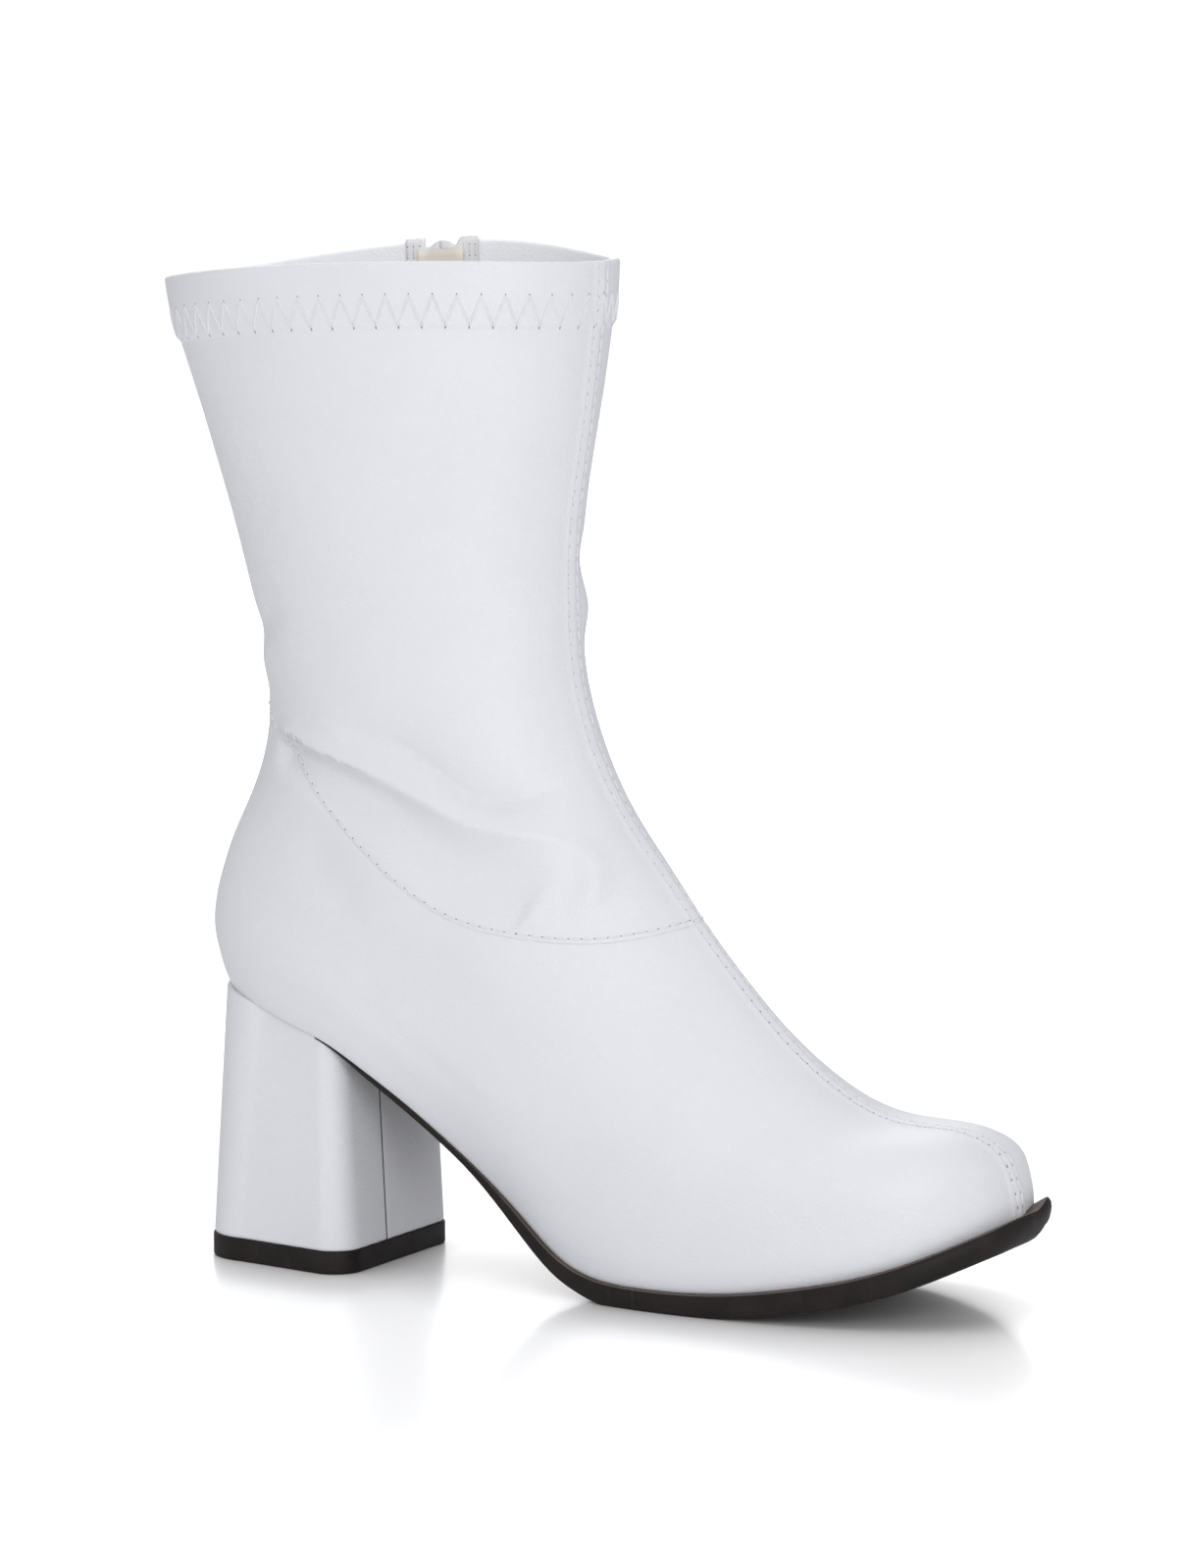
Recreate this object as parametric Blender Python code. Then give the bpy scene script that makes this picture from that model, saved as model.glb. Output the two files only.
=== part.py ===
"""Right-foot costume boot with a block heel, as separate closed solids.

Sizes in the tables are millimetres in the last's own frame: x runs from the back of
the heel seat to the toe, y to the inner (zip) side, z up from the floor. Points are
placed in metres with the boot's bounding box centred on x = y = 0 and its floor at z = 0.
"""

from typing import NamedTuple

import bmesh
import bpy
import numpy as np

MM = 0.001
CENTRE_X = 108.6
CENTRE_Y = 1.95

# Walls and gaps
GAP = 0.3
RISE_POWER = 2.0
INNER_FRONT_POWER = 5.0
UPPER_WALL = 2.0
SHAFT_WALL = 1.5
RIDGE_RAISE = 0.5
RIDGE_HALF = 2.6
RIDGE_FOOT = 3.4
HEM_DEPTH = 19.2
HEM_STEP = 0.6
HEM_RAISE = 0.5

# Sole, heel and insole
SEAT_GAP = 0.6
TOE_SWING = 4.0
SWING_FROM = 120.0
WELT_TOE = 5.1
WELT_SIDE = 2.0
WELT_SLOPE = 0.65
SHANK_INSET = 2.2
SHANK_FROM = 70.0
SHANK_TO = 112.0
SOLE_EDGE_DRAFT = 0.8
INSOLE_INSET = 3.4
INSOLE_THICK = 2.5
BREAST_TOP_X = 45.6
TOP_PIECE_THICK = 6.2

# Zip on the inner side
ZIP_AT = 0.535
SLOT_HALF = 6.0
SLOT_START = 16.0
TAPE_HALF = 11.0
TAPE_THICK = 0.6
CHAIN_HALF = 2.5
GUARD_HALF = 7.0
GUARD_THICK = 0.8
SLIDER_DROP = 12.0
SLIDER_LENGTH = 10.4
PULL_LENGTH = 23.0

# Mesh density
T_SAMPLES = 161
LOOP_SAMPLES = 361
SIDE_COLUMNS = 22
ZIP_FRONT_COLUMNS = 10
ZIP_BACK_COLUMNS = 9
SHAFT_ROWS = 9


class Level(NamedTuple):
    """One loop around the boot, from the feather line (first row) to the collar (last)."""

    front_x: float
    front_z: float
    back_x: float
    back_z: float
    outer: float
    inner: float
    widest: float
    toe_power: float
    heel_power: float
    waist_out: float
    waist_in: float
    sag: float
    rise_out: float
    rise_in: float


# Front and back points, half widths, where it is widest, end roundness, waist pinch,
# share of the sole's dip, and how far each side stands above the line front to back.
LEVELS = (
    Level(232.0, 26.3, 0.8, 75.0, 37.0, 37.5, 0.70, 2.45, 3.00, 10.0, 13.0, 1.00, 0, 0),
    Level(231.5, 31.2, -1.8, 79.5, 39.5, 40.0, 0.70, 2.55, 2.80, 9.0, 12.0, 0.93, 0, 0),
    Level(229.5, 38.0, -3.9, 84.5, 40.5, 41.0, 0.69, 2.70, 2.65, 7.0, 10.0, 0.84, 0, 0),
    Level(225.0, 44.2, -5.2, 90.0, 40.5, 41.0, 0.68, 2.80, 2.60, 5.0, 8.0, 0.74, 0, 0),
    Level(213.5, 48.0, -5.4, 96.0, 39.5, 40.0, 0.66, 2.65, 2.50, 3.5, 5.5, 0.62, 0, 0),
    Level(198.0, 49.2, -4.5, 102.0, 38.0, 38.0, 0.64, 2.40, 2.40, 2.0, 3.5, 0.49, 0, 0),
    Level(182.0, 55.8, -2.6, 109.0, 36.0, 36.0, 0.61, 2.10, 2.30, 1.0, 2.0, 0.36, 0, 0),
    Level(165.5, 69.0, 0.3, 117.0, 34.0, 34.0, 0.57, 1.95, 2.20, 0.5, 1.0, 0.24, 0, 0),
    Level(148.5, 87.5, 4.9, 127.0, 32.5, 32.5, 0.54, 1.80, 2.10, 0.0, 0.5, 0.13, 0, 0),
    Level(129.5, 111.4, 9.2, 138.0, 31.5, 31.5, 0.52, 1.85, 2.05, 0.0, 0.0, 0.05, 0, 0),
    Level(113.0, 134.5, 11.2, 150.0, 31.0, 31.0, 0.50, 2.00, 2.00, 0.0, 0.0, 0.00, 0, 0),
    Level(103.5, 162.0, 10.1, 167.0, 31.5, 31.5, 0.50, 2.00, 2.00, 0.0, 0.0, 0.00, 0, 0),
    Level(101.6, 195.0, 3.6, 193.0, 33.5, 33.5, 0.50, 2.00, 2.00, 0.0, 0.0, 0.00, 0, 0.4),
    Level(105.8, 229.0, -6.4, 225.0, 37.0, 37.0, 0.50, 2.05, 2.00, 0.0, 0.0, 0.00, 0.5, 1.8),
    Level(109.2, 257.0, -15.3, 252.0, 39.8, 40.5, 0.50, 2.20, 2.05, 0.0, 0.0, 0.00, 1.8, 4.0),
    Level(110.0, 273.7, -18.6, 266.2, 41.0, 42.0, 0.50, 2.25, 2.05, 0.0, 0.0, 0.00, 3.3, 5.9),
)


class Rise(NamedTuple):
    """Height z of a line of the boot at a place x along it, both in side view."""

    x: float
    z: float


FEATHER_LINE = (
    Rise(0.8, 75.0),
    Rise(15.0, 71.9),
    Rise(30.0, 67.4),
    Rise(43.0, 62.8),
    Rise(52.0, 57.8),
    Rise(65.0, 49.2),
    Rise(75.0, 41.5),
    Rise(85.0, 33.5),
    Rise(100.0, 20.7),
    Rise(112.0, 11.4),
    Rise(124.0, 7.0),
    Rise(138.0, 6.0),
    Rise(155.0, 6.3),
    Rise(170.0, 7.6),
    Rise(185.0, 10.0),
    Rise(200.0, 13.3),
    Rise(215.0, 18.3),
    Rise(232.0, 26.3),
)

ANKLE_SEAM = (
    Rise(0.0, 162.0),
    Rise(18.0, 147.2),
    Rise(33.0, 133.4),
    Rise(52.0, 117.4),
    Rise(68.0, 106.0),
    Rise(84.0, 98.8),
    Rise(101.0, 95.8),
    Rise(118.0, 94.8),
    Rise(132.0, 96.4),
    Rise(146.0, 100.5),
)


class Thickness(NamedTuple):
    """Thickness of the outsole at a place x along it."""

    x: float
    thick: float


SOLE_THICKNESS = (
    Thickness(40.0, 0.6),
    Thickness(47.0, 0.8),
    Thickness(52.0, 1.2),
    Thickness(58.0, 1.5),
    Thickness(65.0, 1.7),
    Thickness(75.0, 1.75),
    Thickness(80.0, 1.9),
    Thickness(85.0, 2.3),
    Thickness(92.0, 3.4),
    Thickness(100.0, 4.7),
    Thickness(106.0, 5.3),
    Thickness(112.0, 5.4),
    Thickness(118.0, 5.4),
    Thickness(128.0, 6.2),
    Thickness(158.0, 6.2),
    Thickness(205.0, 6.8),
    Thickness(228.0, 7.0),
    Thickness(238.0, 7.2),
)


class HeelRing(NamedTuple):
    """Rounded four-sided outline of the heel, symmetrical about y = 0."""

    front_x: float
    back_x: float
    half_front: float
    half_back: float
    front_radius: float
    back_radius: float


HEEL_FLOOR = HeelRing(48.6, -2.0, 30.3, 24.5, 8.0, 14.5)
HEEL_SEAT = HeelRing(BREAST_TOP_X, 0.2, 28.6, 24.0, 6.0, 19.0)

# Rows of the upper, as shares of the way from the feather line to the ankle seam
UPPER_ROWS = (
    0.0, 0.025, 0.055, 0.09, 0.125, 0.16, 0.20, 0.24, 0.29,
    0.35, 0.42, 0.49, 0.56, 0.64, 0.72, 0.80, 0.87, 0.94, 1.0,
)


def spline(knots, values, at):
    """Natural cubic spline through values at knots, read at the places given."""
    knots = np.asarray(knots, float)
    values = np.asarray(values, float)
    count = len(knots)
    step = np.diff(knots)
    matrix = np.eye(count)
    right = np.zeros(values.shape)
    for i in range(1, count - 1):
        matrix[i, i - 1 : i + 2] = step[i - 1], 2 * (step[i - 1] + step[i]), step[i]
        after = (values[i + 1] - values[i]) / step[i]
        before = (values[i] - values[i - 1]) / step[i - 1]
        right[i] = 6 * (after - before)
    bend = np.linalg.solve(matrix, right)
    at = np.atleast_1d(np.asarray(at, float))
    k = np.clip(np.searchsorted(knots, at) - 1, 0, count - 2)
    a = knots[k + 1] - at
    b = at - knots[k]
    h = step[k]
    if values.ndim > 1:
        a, b, h = a[:, None], b[:, None], h[:, None]
    curve = bend[k] * a**3 / (6 * h) + bend[k + 1] * b**3 / (6 * h)
    return curve + (values[k] / h - bend[k] * h / 6) * a + (values[k + 1] / h - bend[k + 1] * h / 6) * b


def along(table, x):
    """Reads a two-column table at x by spline, held at its ends."""
    rows = np.array(table)
    return spline(rows[:, 0], rows[:, 1], np.clip(x, rows[0, 0], rows[-1, 0]))


def seat_z(x):
    """Height of the surface that the upper's lower rim stands on, past the toe too."""
    x = np.asarray(x, float)
    return along(FEATHER_LINE, x) + WELT_SLOPE * np.maximum(x - FEATHER_LINE[-1].x, 0)


def level(t):
    """The loop's measures at height share t from feather line to collar."""
    return Level(*spline(np.arange(len(LEVELS)), np.array(LEVELS), t * (len(LEVELS) - 1))[0])


def half_width(lv, side, q):
    """Half width on one side, at shares q of the way from the back to the front."""
    half, pinch = (lv.outer, lv.waist_out) if side < 0 else (lv.inner, lv.waist_in)
    front = q > lv.widest
    v = np.where(front, (q - lv.widest) / (1 - lv.widest), (lv.widest - q) / lv.widest)
    power = np.where(front, lv.toe_power, lv.heel_power)
    round_ends = half * (1 - np.clip(v, 0, 1) ** power) ** (1 / power)
    waist = pinch * np.exp(-(((q - 0.40) / 0.16) ** 2)) * np.clip(8 * q * (1 - q), 0, 1)
    return np.maximum(round_ends - waist, 0)


def swing(x):
    """Sideways curve of the forefoot towards the inner side."""
    s = np.clip((x - SWING_FROM) / (FEATHER_LINE[-1].x - SWING_FROM), 0, 1)
    return TOE_SWING * s * s * (3 - 2 * s)


def half_loop(t, side):
    """Points of one side of a loop, from the front to the back."""
    lv = level(t)
    q = (1 + np.cos(np.linspace(0, np.pi, LOOP_SAMPLES))) / 2
    x = lv.back_x + (lv.front_x - lv.back_x) * q
    width = half_width(lv, side, q)
    half, rise = (lv.outer, lv.rise_out) if side < 0 else (lv.inner, lv.rise_in)
    ends = FEATHER_LINE[0], FEATHER_LINE[-1]
    chord = ends[0].z + (ends[1].z - ends[0].z) * q
    dip = along(FEATHER_LINE, ends[0].x + (ends[1].x - ends[0].x) * q) - chord
    power = np.where((side > 0) & (q > lv.widest), INNER_FRONT_POWER, RISE_POWER)
    z = lv.back_z + (lv.front_z - lv.back_z) * q + lv.sag * dip + rise * (width / half) ** power
    return np.stack([x, side * width + swing(x), z], -1)


def arc_length(points):
    """Distance along a polyline at each of its points."""
    return np.r_[0, np.cumsum(np.linalg.norm(np.diff(points, axis=0), axis=1))]


def at_arcs(points, arcs):
    """Points of a polyline at given distances along it."""
    d = arc_length(points)
    return np.stack([np.interp(arcs, d, points[:, k]) for k in range(points.shape[1])], -1)


def outer_arcs(length):
    """Column places on the outer side: the front ridge, then even steps to the back."""
    return np.r_[0, RIDGE_HALF, np.linspace(RIDGE_FOOT, length, SIDE_COLUMNS)]


def inner_arcs(length):
    """Column places on the inner side, with columns on the two edges of the zip slot."""
    centre = ZIP_AT * length
    to_slot = np.linspace(RIDGE_FOOT, centre - SLOT_HALF, ZIP_FRONT_COLUMNS)
    to_back = np.linspace(centre + SLOT_HALF, length, ZIP_BACK_COLUMNS)
    return np.r_[0, RIDGE_HALF, to_slot, centre, to_back]


def boot_sheet():
    """Points and outward normals of the boot's form, on loops closed around it."""
    rows = []
    for t in np.linspace(0, 1, T_SAMPLES):
        outer = half_loop(t, -1)
        inner = half_loop(t, 1)
        lateral = at_arcs(outer, outer_arcs(arc_length(outer)[-1]))
        medial = at_arcs(inner, inner_arcs(arc_length(inner)[-1]))
        rows.append(np.vstack([lateral, medial[::-1][1:-1]]))
    points = np.array(rows)
    around = np.roll(points, -1, axis=1) - np.roll(points, 1, axis=1)
    normals = np.cross(np.gradient(points, axis=0), around)
    return points, normals / np.linalg.norm(normals, axis=2, keepdims=True)


def ridge_raise(columns):
    """Raise of the front seam's band at each column."""
    raise_by = np.zeros(columns)
    raise_by[[0, 1, -1]] = RIDGE_RAISE
    return raise_by


def column_rows(points, normals, stations):
    """Reads each column of a sheet at its own distances along it."""
    columns = points.shape[1]
    place = np.empty((stations.shape[0], columns, 3))
    out = np.empty_like(place)
    for j in range(columns):
        d = arc_length(points[:, j])
        for k in range(3):
            place[:, j, k] = np.interp(stations[:, j], d, points[:, j, k])
            out[:, j, k] = np.interp(stations[:, j], d, normals[:, j, k])
    return place, out / np.linalg.norm(out, axis=2, keepdims=True)


def seam_stations(points):
    """Distance up each column to the ankle seam, and the column's whole length."""
    seam = np.empty(points.shape[1])
    whole = np.empty(points.shape[1])
    for j in range(points.shape[1]):
        d = arc_length(points[:, j])
        above = points[:, j, 2] - along(ANKLE_SEAM, points[:, j, 0])
        k = np.nonzero(above > 0)[0][0]
        share = above[k - 1] / (above[k - 1] - above[k])
        seam[j] = d[k - 1] + share * (d[k] - d[k - 1])
        whole[j] = d[-1]
    return seam, whole


def shell(outer, inner, cells):
    """Vertices and faces of a wall between two sheets, over the cells that are there."""
    rows, columns = outer.shape[:2]
    verts = []
    index = {}
    faces = []

    def vertex(layer, r, c):
        key = (layer, r, c % columns)
        if key not in index:
            index[key] = len(verts)
            verts.append((outer, inner)[layer][r, c % columns])
        return index[key]

    def there(r, c):
        return 0 <= r < rows - 1 and cells[r, c % columns]

    for r in range(rows - 1):
        for c in range(columns):
            if not cells[r, c]:
                continue
            ring = ((r, c), (r + 1, c), (r + 1, c + 1), (r, c + 1))
            beyond = ((r, c - 1), (r + 1, c), (r, c + 1), (r - 1, c))
            faces.append([vertex(0, *p) for p in ring])
            faces.append([vertex(1, *p) for p in reversed(ring)])
            for k in range(4):
                if not there(*beyond[k]):
                    a, b = ring[k], ring[(k + 1) % 4]
                    faces.append([vertex(0, *b), vertex(0, *a), vertex(1, *a), vertex(1, *b)])
    return np.array(verts), faces


def strip(points, normals, depth_from, depth_to):
    """Closed strip between two depths under an open sheet."""
    rows, columns = points.shape[:2]
    top = points - depth_from * normals
    under = points - depth_to * normals
    wide = np.zeros((rows - 1, columns), bool)
    wide[:, : columns - 1] = True
    return shell(top, under, wide)


def slab(top_left, top_right, under_left, under_right):
    """Closed solid between matching left and right lines, above and below."""
    n = len(top_left)
    verts = np.vstack([top_left, top_right, under_right, under_left])
    faces = []
    for i in range(n - 1):
        for k in range(4):
            a, b = k * n + i, (k + 1) % 4 * n + i
            faces.append([a, a + 1, b + 1, b])
    faces.append([k * n for k in range(4)])
    faces.append([k * n + n - 1 for k in (3, 2, 1, 0)])
    return verts, faces


def box_ring(ring, points_per_side):
    """One half of a heel outline, from the middle of the breast to the middle of the back."""
    corners = (
        (ring.front_x - ring.front_radius, ring.half_front - ring.front_radius, ring.front_radius, 0),
        (ring.back_x + ring.back_radius, ring.half_back - ring.back_radius, ring.back_radius, 90),
    )
    line = [(ring.front_x, 0.0)]
    for x, y, radius, start in corners:
        for angle in np.radians(np.linspace(start, start + 90, 9)):
            line.append((x + radius * np.cos(angle), y + radius * np.sin(angle)))
    line.append((ring.back_x, 0.0))
    line = np.array(line)
    length = arc_length(line)[-1]
    return at_arcs(line, np.linspace(0, length, points_per_side))


def heel_block(rings, heights):
    """Closed block through heel outlines, with height functions of x for each ring."""
    loops = []
    for half, height in zip(rings, heights):
        whole = np.vstack([half, half[::-1][1:-1] * (1, -1)])
        loops.append(np.column_stack([whole, height(whole[:, 0])]))
    n = len(loops[0])
    verts = np.vstack(loops)
    faces = []
    for r in range(len(loops) - 1):
        for i in range(n):
            a, b = r * n + i, r * n + (i + 1) % n
            faces.append([a, b, b + n, a + n])
    for r in (0, len(loops) - 1):
        for i in range(n // 2):
            ends = [r * n + i, r * n + i + 1, r * n + n - i - 1, r * n + (n - i) % n]
            faces.append(list(dict.fromkeys(ends)))
    return verts, faces


def make_object(name, mesh_data, colour, roughness, metallic=0.0, origin=(0.0, 0.0, 0.0), placed=False):
    """Adds one named solid with its own material; points are millimetres on the last."""
    verts, faces = mesh_data
    verts = np.asarray(verts, float)
    if not placed:
        verts = place(verts)
    mesh = bpy.data.meshes.new(name)
    mesh.from_pydata([tuple(v) for v in verts - np.array(origin)], [], [tuple(f) for f in faces])
    work = bmesh.new()
    work.from_mesh(mesh)
    bmesh.ops.recalc_face_normals(work, faces=work.faces)
    work.to_mesh(mesh)
    work.free()
    obj = bpy.data.objects.new(name, mesh)
    obj.location = origin
    bpy.context.scene.collection.objects.link(obj)
    material = bpy.data.materials.new(name)
    material.use_nodes = True
    shader = material.node_tree.nodes["Principled BSDF"]
    shader.inputs["Base Color"].default_value = (*colour, 1.0)
    shader.inputs["Roughness"].default_value = roughness
    shader.inputs["Metallic"].default_value = metallic
    mesh.materials.append(material)
    return obj


def place(points):
    """Millimetres on the last to metres in the boot's frame."""
    return (np.asarray(points, float) - (CENTRE_X, CENTRE_Y, 0.0)) * MM


def build_upper(points, normals, seam):
    """Hollow foot part between the feather line and the ankle seam."""
    stations = np.array(UPPER_ROWS)[:, None] * (seam - GAP / 2)[None, :]
    face, out = column_rows(points, normals, stations)
    outer = face + out * ridge_raise(face.shape[1])[None, :, None]
    inner = face - out * UPPER_WALL
    for rim in (outer[0], inner[0]):
        rim[:, 2] = seat_z(rim[:, 0])
    cells = np.ones((len(UPPER_ROWS) - 1, face.shape[1]), bool)
    make_object("upper", shell(outer, inner, cells), (0.86, 0.87, 0.89), 0.45)


def slot_columns():
    """Column numbers of the zip slot's back edge, middle and front edge."""
    first = SIDE_COLUMNS + 2 + ZIP_BACK_COLUMNS - 2
    return first, first + 1, first + 2


def build_shaft(points, normals, seam, whole):
    """Hollow leg part above the ankle seam, with a raised hem and the zip's slot."""
    low = seam + GAP / 2
    hem = whole - HEM_DEPTH
    body = np.linspace(0, 1, SHAFT_ROWS)[:, None]
    start = low + SLOT_START
    stations = np.vstack([low, start + body * (hem - HEM_STEP - start), hem, whole - HEM_DEPTH / 2, whole])
    face, out = column_rows(points, normals, stations)
    hem_raise = np.zeros(len(stations))
    hem_raise[-3:] = HEM_RAISE
    raised = hem_raise[:, None] + ridge_raise(face.shape[1])[None, :]
    outer = face + out * raised[:, :, None]
    inner = face - out * SHAFT_WALL
    cells = np.ones((len(stations) - 1, face.shape[1]), bool)
    back_edge, middle, _ = slot_columns()
    cells[1:, [back_edge, middle]] = False
    make_object("shaft", shell(outer, inner, cells), (0.86, 0.87, 0.89), 0.45)


def zip_sheet(offsets, drop_from, drop_to, rows):
    """Sheet along the zip's middle line, between two distances below the collar.

    Offsets are arc distances from the middle line, towards the back of the boot.
    """
    grid = []
    for t in np.linspace(0.5, 1, 101):
        loop = half_loop(t, 1)
        grid.append(at_arcs(loop, ZIP_AT * arc_length(loop)[-1] + np.array(offsets)))
    points = np.array(grid)
    normals = np.cross(np.gradient(points, axis=1), np.gradient(points, axis=0))
    normals /= np.linalg.norm(normals, axis=2, keepdims=True)
    middle = points[:, len(offsets) // 2]
    d = arc_length(middle)[-1] - np.linspace(drop_from, drop_to, rows)
    stations = np.repeat(d[:, None], len(offsets), axis=1)
    for j in range(len(offsets)):
        stations[:, j] *= arc_length(points[:, j])[-1] / arc_length(middle)[-1]
    return column_rows(points, normals, stations)


def build_zip(zip_length):
    """Tapes, chain and guard that follow the shaft behind its slot."""
    white = (0.82, 0.83, 0.85)
    under = SHAFT_WALL + GAP
    front = np.linspace(-TAPE_HALF, -GAP / 2, 5)
    back = np.linspace(GAP / 2, TAPE_HALF, 5)
    low = zip_length + 3.0
    tape_to = under + TAPE_THICK
    make_object("zip_tape_front", strip(*zip_sheet(front, low, 1.5, 15), under, tape_to), white, 0.8)
    make_object("zip_tape_back", strip(*zip_sheet(back, low, 1.5, 15), under, tape_to), white, 0.8)
    chain_top = SLIDER_DROP + SLIDER_LENGTH / 2 + GAP
    chain = zip_sheet(np.linspace(-CHAIN_HALF, CHAIN_HALF, 3), zip_length - 1.0, chain_top, 17)
    make_object("zip_chain", strip(*chain, 0.2, SHAFT_WALL), white, 0.5)
    guard = zip_sheet(np.linspace(-GUARD_HALF, GUARD_HALF, 7), low, 2.5, 13)
    guard_from = tape_to + GAP
    make_object("zip_guard", strip(*guard, guard_from, guard_from + GUARD_THICK), (0.62, 0.52, 0.42), 0.85)


class Frame(NamedTuple):
    """Place on the shaft, with directions along the zip: across, up and outwards."""

    centre: np.ndarray
    across: np.ndarray
    up: np.ndarray
    out: np.ndarray

    def at(self, across, up, out):
        """Point at given distances from the centre."""
        return self.centre + across * self.across + up * self.up + out * self.out


def slider_frame():
    """Frame of the slider on the zip's middle line; across is the tab's hinge direction."""
    points, _ = zip_sheet(np.array([-1.0, 0.0, 1.0]), SLIDER_DROP + 3, SLIDER_DROP - 3, 3)
    up = points[2, 1] - points[0, 1]
    across = np.array([1.0, 0.0, 0.0])
    up[0] = 0.0
    up /= np.linalg.norm(up)
    return Frame(points[1, 1], across, up, np.cross(up, across))


def prism(frame, outline, low, high):
    """Closed solid from an outline (across, up) between two distances outwards."""
    n = len(outline)
    verts = [frame.at(a, u, o) for o in (low, high) for a, u in outline]
    sides = [[i, (i + 1) % n, (i + 1) % n + n, i + n] for i in range(n)]
    return np.array(verts), sides + [list(range(n)), list(range(n, 2 * n))]


def bail_mesh(frame):
    """Arched bail that stands on the slider and holds the tab."""
    half = 0.8
    arch = ((2.8, 1.2), (2.8, 3.4), (1.8, 4.6), (-1.8, 4.6), (-2.8, 3.4), (-2.8, 1.2))
    inside = ((-1.8, 1.2), (-1.8, 3.2), (-1.3, 3.7), (1.3, 3.7), (1.8, 3.2), (1.8, 1.2))
    profile = arch + inside
    n = len(profile)
    verts = [frame.at(a, u, o) for a in (-half, half) for u, o in profile]
    faces = [[i, (i + 1) % n, (i + 1) % n + n, i + n] for i in range(n)]
    for side in (0, n):
        for i in range(5):
            faces.append([side + i, side + i + 1, side + n - 2 - i, side + n - 1 - i])
    return np.array(verts), faces


def pull_mesh(frame, down):
    """Flat tab around the bail, hanging from its top bar along the direction down."""
    out = np.cross(frame.across, down)
    hang = Frame(frame.centre, frame.across, -down, out)
    outline = []
    for a, u in ((-2.5, 0.5), (2.5, 0.5), (2.5, -4.6), (3.2, -6.0)):
        outline.append((a, u))
    round_end = 3.2
    for angle in np.radians(np.linspace(0, -180, 9)):
        outline.append((round_end * np.cos(angle), round_end - PULL_LENGTH + round_end * np.sin(angle)))
    outline += [(-3.2, -6.0), (-2.5, -4.6)]
    hole = [(-1.25, -0.5), (1.25, -0.5), (1.25, -3.9), (-1.25, -3.9)]
    inner = len(hole)
    n = len(outline)
    verts = [hang.at(a, u, o) for o in (-0.5, 0.5) for a, u in outline + hole]
    whole = n + inner
    faces = []
    for i in range(n):
        j = (i + 1) % n
        faces.append([i, j, j + whole, i + whole])
    for i in range(inner):
        a, b = n + i, n + (i + 1) % inner
        faces.append([a, b, b + whole, a + whole])
    left, right = n - 1, 2
    lower = list(range(right, n))
    for base in (0, whole):
        hole_at = [base + n + k for k in range(inner)]
        faces.append([base + 0, base + 1, hole_at[1], hole_at[0]])
        faces.append([base + 1, base + right, hole_at[2], hole_at[1]])
        faces.append([base + left, base + 0, hole_at[0], hole_at[3]])
        faces.append([base + k for k in lower] + [hole_at[3], hole_at[2]])
    return np.array(verts), faces


def build_slider():
    """Slider with its bail, and the tab that swings on it."""
    metal = (0.72, 0.72, 0.73)
    frame = slider_frame()
    half = SLIDER_LENGTH / 2
    outline = ((-3.4, -half), (3.4, -half), (4.4, 1.0), (4.4, half - 0.8), (3.4, half))
    outline += ((-3.4, half), (-4.4, half - 0.8), (-4.4, 1.0))
    slider = make_object("zip_slider", prism(frame, outline, GAP - SHAFT_WALL, 2.0), metal, 0.3, 1.0)
    bail = make_object("bail_form", bail_mesh(frame), metal, 0.3, 1.0)
    bail.hide_render = True
    bail.display_type = "WIRE"
    join = slider.modifiers.new("bail", "BOOLEAN")
    join.operation = "UNION"
    join.solver = "EXACT"
    join.object = bail
    axis_at = frame.at(0.0, 0.0, 2.85)
    hinge = Frame(axis_at, frame.across, frame.up, frame.out)
    tab = place(pull_mesh(hinge, np.array([0.0, 0.0, -1.0]))[0])
    faces = pull_mesh(hinge, np.array([0.0, 0.0, -1.0]))[1]
    make_object("zip_pull", (tab, faces), metal, 0.3, 1.0, origin=tuple(place(axis_at)), placed=True)


def sole_level(grow_front, grow_back, grow_side):
    """The feather line's loop, grown at the toe, at the heel and at the sides."""
    lv = LEVELS[0]
    return lv._replace(
        front_x=lv.front_x + grow_front,
        back_x=lv.back_x - grow_back,
        outer=lv.outer + grow_side,
        inner=lv.inner + grow_side,
    )


def sole_edges(lv, x):
    """Left and right edges of a sole-shaped plate at places x."""
    q = (x - lv.back_x) / (lv.front_x - lv.back_x)
    outer = np.column_stack([x, swing(x) - half_width(lv, -1, q)])
    inner = np.column_stack([x, swing(x) + half_width(lv, 1, q)])
    return outer, inner


def shank_inset(x):
    """How far the outsole's edge draws in under the arch."""
    s = np.clip((x - SHANK_FROM) / (SHANK_TO - SHANK_FROM), 0, 1)
    return SHANK_INSET * (1 - s * s * (3 - 2 * s))


def toe_stations(start, end, count):
    """Places along a plate, closer together where its toe turns."""
    share = np.linspace(0, 1, count)
    return start + (end - start) * (1 - (1 - share) ** 1.7)


def build_outsole():
    """Black sole from the heel breast to the toe, flat under the ball."""
    lv = sole_level(WELT_TOE, 0.0, WELT_SIDE)
    x = toe_stations(BREAST_TOP_X + 0.4, lv.front_x - 0.15, 40)
    outer, inner = sole_edges(lv, x)
    outer[:, 1] += shank_inset(x)
    inner[:, 1] -= shank_inset(x)
    top = seat_z(x) - SEAT_GAP
    under = np.maximum(top - along(SOLE_THICKNESS, x), 0)
    draft = np.minimum(SOLE_EDGE_DRAFT, 0.3 * (inner[:, 1] - outer[:, 1]))
    lines = (
        np.column_stack([outer, top]),
        np.column_stack([inner, top]),
        np.column_stack([outer[:, 0], outer[:, 1] + draft, under]),
        np.column_stack([inner[:, 0], inner[:, 1] - draft, under]),
    )
    make_object("outsole", slab(*lines), (0.02, 0.02, 0.022), 0.5)


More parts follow.
